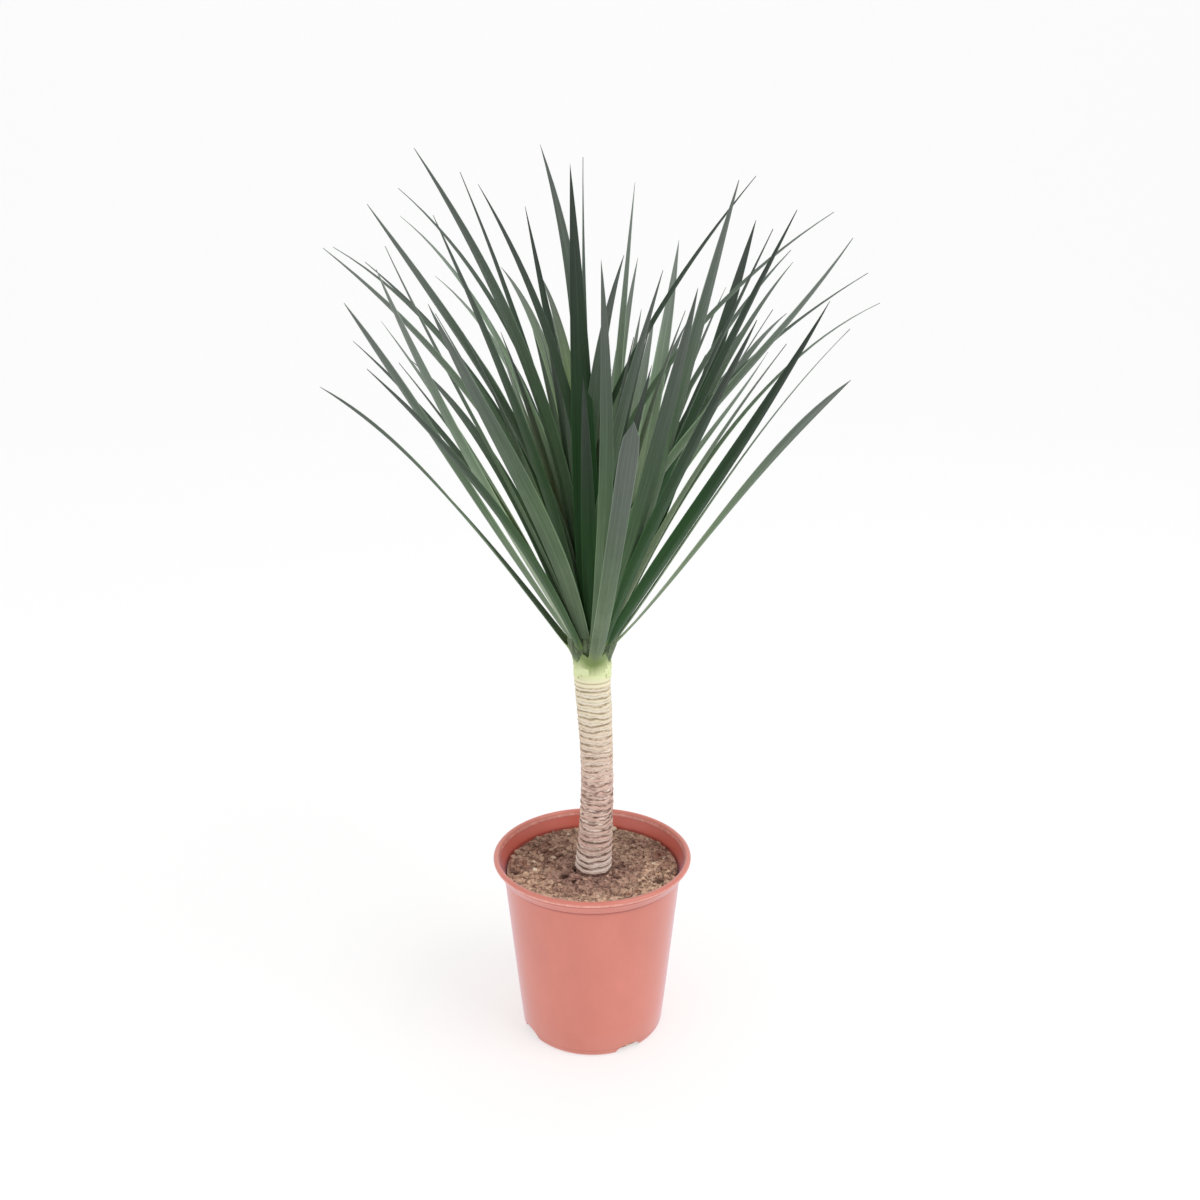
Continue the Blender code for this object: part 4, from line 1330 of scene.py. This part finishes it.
def leaf_plan(middle, extra):
    """Every leaf: those seen, those behind and the young ones, with a few more in the heart."""
    draw = random.Random(LEAF_SEED)
    shade = random.Random(TONE_SEED)
    leaves = []
    for across, down, depth, width, low, high, sway, turn, twist, taper, tone in SEEN_LEAVES:
        tip = seen_tip(across, down, depth)
        turn, twist = math.radians(turn), math.radians(twist)
        behind = ease((depth - FRESH_DEPTH) / FRESH_FADE)
        fresh = FRESH_SEEN * behind * ease((FRESH_ASIDE - abs(tip.x - middle.x)) / FRESH_EDGE)
        leaves.append(Leaf(tip, width, low, high, sway, turn, twist, taper, tone, fresh))
    for i in range(BACK_LEAVES):
        share = i / (BACK_LEAVES - 1)
        turn = math.pi / 2.0 + BACK_HALF_SPREAD * (2.0 * ((i * GOLDEN_SHARE) % 1.0) - 1.0)
        lean = BACK_LEAN_FIRST + (BACK_LEAN_LAST - BACK_LEAN_FIRST) * share
        length = BACK_LENGTH + draw.uniform(-1.0, 1.0) * LENGTH_SCATTER
        twist = draw.uniform(-1.0, 1.0) * BACK_TWIST
        tip = leaned_tip(middle, turn, lean, length)
        tone = shade.uniform(*BACK_TONES)
        bends = (BACK_ARCH, BACK_ARCH, 0.0, 0.0, twist)
        leaves.append(Leaf(tip, BACK_WIDTH, *bends, BACK_TAPER, tone, 0.0))
    for i in range(YOUNG_LEAVES + extra):
        if i < YOUNG_LEAVES:
            share = i / (YOUNG_LEAVES - 1)
            lean = YOUNG_LEAN_FIRST + (YOUNG_LEAN_LAST - YOUNG_LEAN_FIRST) * share
            turn = YOUNG_FIRST_TURN + GOLDEN_ANGLE * i
        else:
            share = (i - YOUNG_LEAVES + 0.5) / extra
            lean = math.radians(EXTRA_LEAN_FIRST + EXTRA_LEAN_SPREAD * share)
            turn = EXTRA_FIRST_TURN + GOLDEN_ANGLE * (i - YOUNG_LEAVES)
        length = YOUNG_LENGTH + YOUNG_GROWTH * share + draw.uniform(-1.0, 1.0) * LENGTH_SCATTER
        tip = leaned_tip(middle, turn, lean, length)
        bends = (YOUNG_ARCH, YOUNG_ARCH, 0.0, 0.0, draw.uniform(-1.0, 1.0) * YOUNG_TWIST)
        rear = 0.5 + 0.5 * math.sin(turn)
        # Painted light: the young leaves towards the back are paler
        tone = shade.uniform(*YOUNG_TONES) + YOUNG_REAR_LIGHT * rear
        leaves.append(Leaf(tip, YOUNG_WIDTH, *bends, YOUNG_TAPER, tone, FRESH_YOUNG * rear))
    return leaves


def leaf_lean(middle, plan):
    """How far a leaf leans out from upright."""
    flat = math.hypot(plan.tip.x - middle.x, plan.tip.y - middle.y)
    return math.atan2(flat, plan.tip.z - middle.z)


def leaf_line(middle, plan):
    """Handles of a leaf's middle line as (outward, up, aside), and the frame they lie in."""
    spread = min(leaf_lean(middle, plan) / WIDEST_LEAN, 1.0)
    away = INNER_ROOT_RADIUS + (ROOT_RADIUS - INNER_ROOT_RADIUS) * spread
    turn = math.atan2(plan.tip.y - middle.y, plan.tip.x - middle.x) + plan.turn
    root = Vector((middle.x + away * math.cos(turn), middle.y + away * math.sin(turn), 0.0))
    outward = Vector((plan.tip.x - root.x, plan.tip.y - root.y, 0.0))
    start = Vector((0.0, HIGHEST_ROOT + (LOWEST_ROOT - HIGHEST_ROOT) * spread, 0.0))
    end = Vector((outward.length, plan.tip.z, 0.0))
    outward.normalize()
    aside = outward.cross(Vector((0.0, 0.0, 1.0)))
    length = (end - start).length
    chord = math.atan2(end.x - start.x, end.y - start.y)
    low, high = math.asin(4.0 * plan.low), math.asin(4.0 * plan.high)
    rising = Vector((math.sin(chord - low), math.cos(chord - low), 0.0))
    falling = Vector((math.sin(chord + high), math.cos(chord + high), 0.0))
    sway = Vector((0.0, 0.0, plan.sway * length * 4.0 / 3.0))
    handles = [start, start + rising * length / 3.0 + sway, end - falling * length / 3.0 + sway, end]
    place = Matrix((
        (outward.x, 0.0, aside.x, root.x),
        (outward.y, 0.0, aside.y, root.y),
        (0.0, 1.0, 0.0, 0.0),
        (0.0, 0.0, 0.0, 1.0),
    ))
    return handles, place, away


def foot_line(handles, away, order):
    """The same line, started lower on the stem's side: it climbs beside the stem, then leans out."""
    near = [a.lerp(b, FOOT_SHARE) for a, b in zip(handles, handles[1:])]
    nearer = [a.lerp(b, FOOT_SHARE) for a, b in zip(near, near[1:])]
    joint = nearer[0].lerp(nearer[1], FOOT_SHARE)
    foot = Vector((CLASP_RADIUS - CLASP_LAYER * order - away, CLASP_LOWEST + CLASP_RISE * order, 0.0))
    pull = FOOT_PULL * (joint - foot).length
    lean = (joint - nearer[0]).normalized()
    climb = foot + Vector((0.0, pull, 0.0))
    return [foot, climb, joint - lean * pull, joint, nearer[1], near[2], handles[3]]


def lay_guide(guide, handles):
    """Sets the guide's points and handles to a line of two or one bent pieces."""
    points = guide.data.splines[0].bezier_points
    for i, point in enumerate(points):
        knot = handles[3 * i]
        point.co = knot
        point.handle_left = handles[3 * i - 1] if i else knot * 2.0 - handles[1]
        last = 3 * i + 1 >= len(handles)
        point.handle_right = knot * 2.0 - handles[3 * i - 1] if last else handles[3 * i + 1]


def opened_share(leaf, along):
    """The blade's width at this share of its length, before its taper."""
    return leaf.base_width + (1.0 - leaf.base_width) * ease(along / OPENING)


def blade_master(leaf):
    """A flat blade of unit length and width along +X: rows narrowed, edges lifted, tip closed."""
    deselect()
    bpy.ops.mesh.primitive_grid_add(
        x_subdivisions=BLADE_ROWS, y_subdivisions=BLADE_COLUMNS, size=1.0, location=(0.5, 0.0, 0.0)
    )
    blade = bpy.context.object
    blade.name = "blade"
    bpy.ops.object.transform_apply(location=True)
    for column in range(BLADE_COLUMNS // 2):
        edge = 0.5 - column / BLADE_COLUMNS
        select_points(blade, lambda co: abs(abs(co.y) - edge) < 1e-4)
        rise = 2.0 * leaf.channel * (CHANNEL_SLOPE * edge + CHANNEL_CURVE * edge * edge)
        bpy.ops.transform.translate(value=(0.0, 0.0, rise))
    for row in range(BLADE_ROWS + 1):
        even = row / BLADE_ROWS
        along = even**ROW_CROWDING
        select_points(blade, lambda co: abs(co.x - even) < 1e-4)
        wide = opened_share(leaf, along) * max(1.0 - along**BLADE_TAPER, BLADE_NIB)
        bpy.ops.transform.resize(value=(1.0, wide, wide), center_override=(even, 0.0, 0.0))
        bpy.ops.transform.translate(value=(along - even, 0.0, 0.0))
    bpy.ops.mesh.merge(type="CENTER")
    bpy.ops.object.mode_set(mode="OBJECT")
    body = blade.vertex_groups.new(name="body")
    for point in blade.data.vertices:
        half = 0.5 * max(1.0 - point.co.x**BLADE_TAPER, BLADE_NIB)
        thick = 1.0 - EDGE_THINNING * min(abs(point.co.y) / half, 1.0)
        body.add([point.index], thick * (1.0 - TIP_THINNING * point.co.x), "REPLACE")
    return blade


def size_blade(mesh, leaf, plan, length, clasps):
    """Gives a blade its length, width and taper, and the clasping ones a foot like a split tube."""
    for point in mesh.vertices:
        along, side, lift = point.co
        narrow = max(1.0 - along**plan.taper, BLADE_NIB) / max(1.0 - along**BLADE_TAPER, BLADE_NIB)
        if clasps:
            narrow *= leaf.clasp_width + (1.0 - leaf.clasp_width) * ease(along / OPENING)
        side *= plan.width * narrow
        lift *= plan.width * narrow
        if clasps and along < CLASP_SHARE:
            half = 0.5 * plan.width * narrow * opened_share(leaf, along)
            angle = CLASP_ANGLE * side / half
            free = ease(along / CLASP_SHARE)
            side = side * free + (1.0 - free) * CLASP_RADIUS * math.sin(angle)
            lift = lift * free + (1.0 - free) * CLASP_RADIUS * (1.0 - math.cos(angle))
        point.co = (along * length, side, lift)


def bent_leaf(master, guides, leaf, middle, plan, order):
    """A copy of the blade, sized, thickened, twisted, bent along a guide and set in its place."""
    handles, place, away = leaf_line(middle, plan)
    clasps = order is not None
    if clasps:
        handles = foot_line(handles, away, order)
    guide = guides[clasps]
    lay_guide(guide, handles)
    mesh = master.data.copy()
    mark_points(mesh, "tone", [plan.tone] * len(mesh.vertices))
    mark_points(mesh, "fresh", [plan.fresh] * len(mesh.vertices))
    blade = bpy.data.objects.new("leaf", mesh)
    for layer in master.vertex_groups:
        blade.vertex_groups.new(name=layer.name)
    bpy.context.scene.collection.objects.link(blade)
    length = sum((b - a).length for a, b in zip(handles, handles[1:]))
    size_blade(mesh, leaf, plan, length, clasps)
    wall = blade.modifiers.new("wall", "SOLIDIFY")
    wall.thickness = leaf.thickness
    wall.offset = 0.0
    wall.vertex_group = "body"
    wall.thickness_vertex_group = THINNEST_SHARE
    wall.material_offset = 1
    wall.material_offset_rim = 1
    turn = blade.modifiers.new("twist", "SIMPLE_DEFORM")
    turn.deform_method = "TWIST"
    turn.deform_axis = "X"
    turn.angle = plan.twist
    apply_modifiers(blade)
    blade.rotation_euler = (-math.pi / 2.0, 0.0, 0.0)
    apply_place(blade)
    bend = blade.modifiers.new("bend", "CURVE")
    bend.object = guide
    bend.deform_axis = "POS_X"
    apply_modifiers(blade)
    blade.data.transform(place)
    return blade


def make_guide(name, cuts):
    """A curve of one or two pieces that each leaf is bent along in turn."""
    deselect()
    bpy.ops.curve.primitive_bezier_curve_add()
    guide = bpy.context.object
    guide.name = name
    if cuts:
        bpy.ops.object.mode_set(mode="EDIT")
        bpy.ops.curve.select_all(action="SELECT")
        bpy.ops.curve.subdivide(number_cuts=cuts)
        bpy.ops.object.mode_set(mode="OBJECT")
    guide.data.dimensions = "3D"
    guide.data.twist_mode = "Z_UP"
    guide.data.resolution_u = 48
    guide.data.use_stretch = True
    guide.data.use_deform_bounds = True
    for point in guide.data.splines[0].bezier_points:
        point.handle_left_type = "FREE"
        point.handle_right_type = "FREE"
    return guide


# Stage


def make_floor(look):
    """A floor that sweeps up behind into a wall."""
    deselect()
    bpy.ops.mesh.primitive_plane_add(size=FLOOR_SIZE, location=(0.0, 0.0, 0.0))
    floor = bpy.context.object
    floor.name = "studio_floor"
    bpy.ops.object.mode_set(mode="EDIT")
    select_points(floor, lambda co: co.y > 0.49 * FLOOR_SIZE)
    bpy.ops.mesh.extrude_region_move(TRANSFORM_OT_translate={"value": (0.0, 0.0, WALL_HEIGHT)})
    bpy.ops.object.mode_set(mode="OBJECT")
    sweep = floor.modifiers.new("sweep", "BEVEL")
    sweep.width = SWEEP
    sweep.segments = 24
    sweep.limit_method = "ANGLE"
    apply_modifiers(floor)
    soften(floor, degrees=40.0)
    material, shader = new_material("studio_floor", 0.9, 0.1)
    shader.inputs["Base Color"].default_value = colour4(look.floor_colour)
    shader.inputs["Emission Color"].default_value = (1.0, 1.0, 1.0, 1.0)
    shader.inputs["Emission Strength"].default_value = look.glow
    floor.data.materials.append(material)
    return floor


def make_softbox(name, place, size, power):
    """A square softbox that looks at the middle of the plant."""
    light = bpy.data.lights.new(name, "AREA")
    light.size = size
    light.energy = power
    box = bpy.data.objects.new(name, light)
    box.location = place
    box.rotation_euler = (LIT_POINT - Vector(place)).to_track_quat("-Z", "Y").to_euler()
    bpy.context.scene.collection.objects.link(box)


def light_room(brightness):
    world = bpy.data.worlds.new("white_room")
    world.use_nodes = True
    back = world.node_tree.nodes["Background"]
    back.inputs["Color"].default_value = (1.0, 1.0, 1.0, 1.0)
    back.inputs["Strength"].default_value = brightness
    bpy.context.scene.world = world


def make_camera():
    """The eye that the leaf tips were seen with."""
    camera = bpy.data.cameras.new("camera")
    camera.sensor_width = SENSOR_WIDTH
    camera.lens = SENSOR_WIDTH * FOCAL_PIXELS / PICTURE_SIZE
    eye = bpy.data.objects.new("camera", camera)
    eye.location = EYE
    eye.rotation_euler = (math.pi / 2.0 - EYE_PITCH, 0.0, -EYE_YAW)
    bpy.context.scene.collection.objects.link(eye)
    bpy.context.scene.camera = eye


# Steps of the work


class DRAGON_OT_pot(Operator):
    """Turn the pot, cut its notches and drain holes"""

    bl_idname = "dragon_tree.pot"
    bl_label = "Turn Pot"

    def execute(self, context):
        pot = context.scene.dragon_pot
        shell = turned("pot_shell", pot_profile(pot), pot.sides)
        cut_out(shell, notch_cutters(pot) + drain_cutters(pot))
        soften(shell, degrees=40.0)
        outside = pot_material("pot_plastic", pot.colour, pot)
        inside = pot_material("pot_inside", pot.inside_shade_colour, pot)
        finish_piece(shell, "pot_shell", [outside, inside], "pot_plastic", "pot")
        # Painted shade: the inner wall below the lip takes the darker copy of the plastic
        for face in shell.data.polygons:
            inward = face.center.x * face.normal.x + face.center.y * face.normal.y < 0.0
            low = face.center.z < pot.height - 1.5 * pot.roll
            face.material_index = 1 if inward and low and face.center.z > pot.floor + pot.wall else 0
        return {"FINISHED"}


class DRAGON_OT_soil(Operator):
    """Fill the pot with lumpy soil round the stem's hole"""

    bl_idname = "dragon_tree.soil"
    bl_label = "Fill Soil"

    def execute(self, context):
        pot, soil, stem = context.scene.dragon_pot, context.scene.dragon_soil, context.scene.dragon_stem
        bed = turned("soil_bed", soil_profile(pot, soil, stem), pot.sides)
        roughen_soil(bed, soil)
        soften(bed, degrees=60.0)
        look = soil_material("potting_soil", soil.colour, soil.light_colour, spread=0.3)
        finish_piece(bed, "soil_bed", [look], "potting_soil", "soil")
        return {"FINISHED"}


class DRAGON_OT_crumbs(Operator):
    """Scatter crumbs and light chips over the soil"""

    bl_idname = "dragon_tree.crumbs"
    bl_label = "Scatter Crumbs"

    def execute(self, context):
        soil = context.scene.dragon_soil
        bed = bpy.data.objects["soil_bed"]
        draw = random.Random(CRUMB_SEED)
        look = soil_material("soil_crumb", soil.colour, soil.light_colour, spread=0.5)
        heaps = []
        for kind in range(CRUMB_KINDS):
            master = crumb_master("crumb", CRUMB_FORM, CRUMB_FORM_SEED + kind, scatter=0.22)
            places = scattered(bed, soil.crumbs // CRUMB_KINDS, draw, CRUMB_SIZES, sink=0.05)
            near = soil.crumbs // NEAR_CRUMB_PART
            places += scattered(bed, near, draw, NEAR_CRUMB_SIZES, sink=0.10, reach=NEAR_CRUMB_REACH)
            tones = [draw.random() ** 1.5 for _ in places]
            heaps.append(copies_joined("crumbs", master, places, tones))
            bpy.data.objects.remove(master, do_unlink=True)
        crumbs = joined("soil_crumbs", heaps)
        soften(crumbs, degrees=50.0)
        finish_piece(crumbs, "soil_crumbs", [look], "potting_soil")
        flake = crumb_master("chip", CHIP_FORM, CHIP_FORM_SEED, scatter=0.08)
        places = scattered(bed, soil.chips, draw, CHIP_SIZES, sink=0.22)
        chips = copies_joined("soil_chips", flake, places, [draw.random() for _ in places])
        bpy.data.objects.remove(flake, do_unlink=True)
        soften(chips, degrees=40.0)
        bark = soil_material("bark_chip", soil.light_colour, soil.chip_colour, spread=0.8)
        finish_piece(chips, "soil_chips", [bark], "potting_soil")
        return {"FINISHED"}


class DRAGON_OT_stem(Operator):
    """Grow the bare stem with its ring scars"""

    bl_idname = "dragon_tree.stem"
    bl_label = "Grow Stem"

    def execute(self, context):
        soil, stem = context.scene.dragon_soil, context.scene.dragon_stem

        def middle(height):
            return stem_lean(stem, soil.level, height)

        profile, spacing = stem_profile(stem, soil)
        piece = turned("stem", profile, stem.sides, middle)
        unroll(piece, middle, soil.level + FIRST_SCAR, spacing)
        weather_stem(piece, soil, stem)
        soften(piece, degrees=70.0)
        finish_piece(piece, "stem", [stem_material(stem, soil)], "stem_bark", "trunk")
        return {"FINISHED"}


class DRAGON_OT_neck(Operator):
    """Shape the growing tip that the leaf bases clasp"""

    bl_idname = "dragon_tree.neck"
    bl_label = "Shape Growing Tip"

    def execute(self, context):
        leaf, stem, soil = context.scene.dragon_leaf, context.scene.dragon_stem, context.scene.dragon_soil
        neck = turned("growing_tip", neck_profile(stem), TIP_SIDES)
        neck.location.x = crown_middle(stem, soil.level).x
        apply_place(neck)
        soften(neck, degrees=50.0)
        finish_piece(neck, "growing_tip", [neck_material(leaf, stem)], "leaf_green", "leaf_crown")
        return {"FINISHED"}


class DRAGON_OT_leaves(Operator):
    """Grow every sword leaf from the growing tip"""

    bl_idname = "dragon_tree.leaves"
    bl_label = "Grow Leaves"

    def execute(self, context):
        leaf, stem, soil = context.scene.dragon_leaf, context.scene.dragon_stem, context.scene.dragon_soil
        middle = crown_middle(stem, soil.level)
        master = blade_master(leaf)
        guides = (make_guide("bend_guide", 0), make_guide("foot_guide", 1))
        plans = leaf_plan(middle, leaf.extra_young)
        broad = [plan for plan in plans if plan.width > CLASPING_WIDTH]
        low = sorted(broad, key=lambda plan: -leaf_lean(middle, plan))[:CLASPING_LEAVES]
        rings = {"leaves_outer": [], "leaves_middle": [], "leaves_heart": []}
        for plan in plans:
            order = low.index(plan) if plan in low else None
            blade = bent_leaf(master, guides, leaf, middle, plan, order)
            lean = leaf_lean(middle, plan)
            inner = "leaves_middle" if lean > MIDDLE_LEAN else "leaves_heart"
            rings["leaves_outer" if lean > OUTER_LEAN else inner].append(blade)
        for helper in (master, *guides):
            bpy.data.objects.remove(helper, do_unlink=True)
        upper = leaf_material("leaf_upper", leaf, leaf.upper_dark, leaf.upper_colour, roughness=0.46)
        lower = leaf_material("leaf_lower", leaf, leaf.lower_dark, leaf.lower_colour, roughness=0.52)
        for name, blades in rings.items():
            piece = joined(name, blades)
            soften(piece, degrees=60.0)
            finish_piece(piece, name, [upper, lower], "leaf_green", "leaf_crown")
        return {"FINISHED"}


class DRAGON_OT_stage(Operator):
    """Set the floor, the softboxes and the camera"""

    bl_idname = "dragon_tree.stage"
    bl_label = "Set Stage"

    def execute(self, context):
        look = context.scene.dragon_stage
        make_floor(look)
        for name, place, size in SOFTBOXES:
            make_softbox(name, place, size, getattr(look, name))
        light_room(look.room)
        make_camera()
        context.scene.view_settings.view_transform = "Standard"
        return {"FINISHED"}


class DRAGON_PT_panel(Panel):
    """Every step of the plant, in order."""

    bl_idname = "DRAGON_PT_panel"
    bl_label = "Dragon Tree"
    bl_space_type = "VIEW_3D"
    bl_region_type = "UI"
    bl_category = "Dragon Tree"

    def draw(self, context):
        for step in STEPS:
            self.layout.operator(step.bl_idname)


GROUPS = {"mottle": make_mottle, "leaf_marks": make_leaf_marks}
SHAPES = {
    "dragon_pot": PotShape,
    "dragon_soil": SoilShape,
    "dragon_stem": StemShape,
    "dragon_leaf": LeafShape,
    "dragon_stage": StageLook,
}
STEPS = (
    DRAGON_OT_pot,
    DRAGON_OT_soil,
    DRAGON_OT_crumbs,
    DRAGON_OT_stem,
    DRAGON_OT_neck,
    DRAGON_OT_leaves,
    DRAGON_OT_stage,
)


def register():
    for thing in (*SHAPES.values(), *STEPS, DRAGON_PT_panel):
        bpy.utils.register_class(thing)
    for name, shape in SHAPES.items():
        setattr(bpy.types.Scene, name, PointerProperty(type=shape))


def unregister():
    for name in SHAPES:
        delattr(bpy.types.Scene, name)
    for thing in reversed((*SHAPES.values(), *STEPS, DRAGON_PT_panel)):
        bpy.utils.unregister_class(thing)


def main():
    register()
    bpy.ops.dragon_tree.pot()
    bpy.ops.dragon_tree.soil()
    bpy.ops.dragon_tree.crumbs()
    bpy.ops.dragon_tree.stem()
    bpy.ops.dragon_tree.neck()
    bpy.ops.dragon_tree.leaves()
    bpy.ops.dragon_tree.stage()


if __name__ == "__main__":
    main()
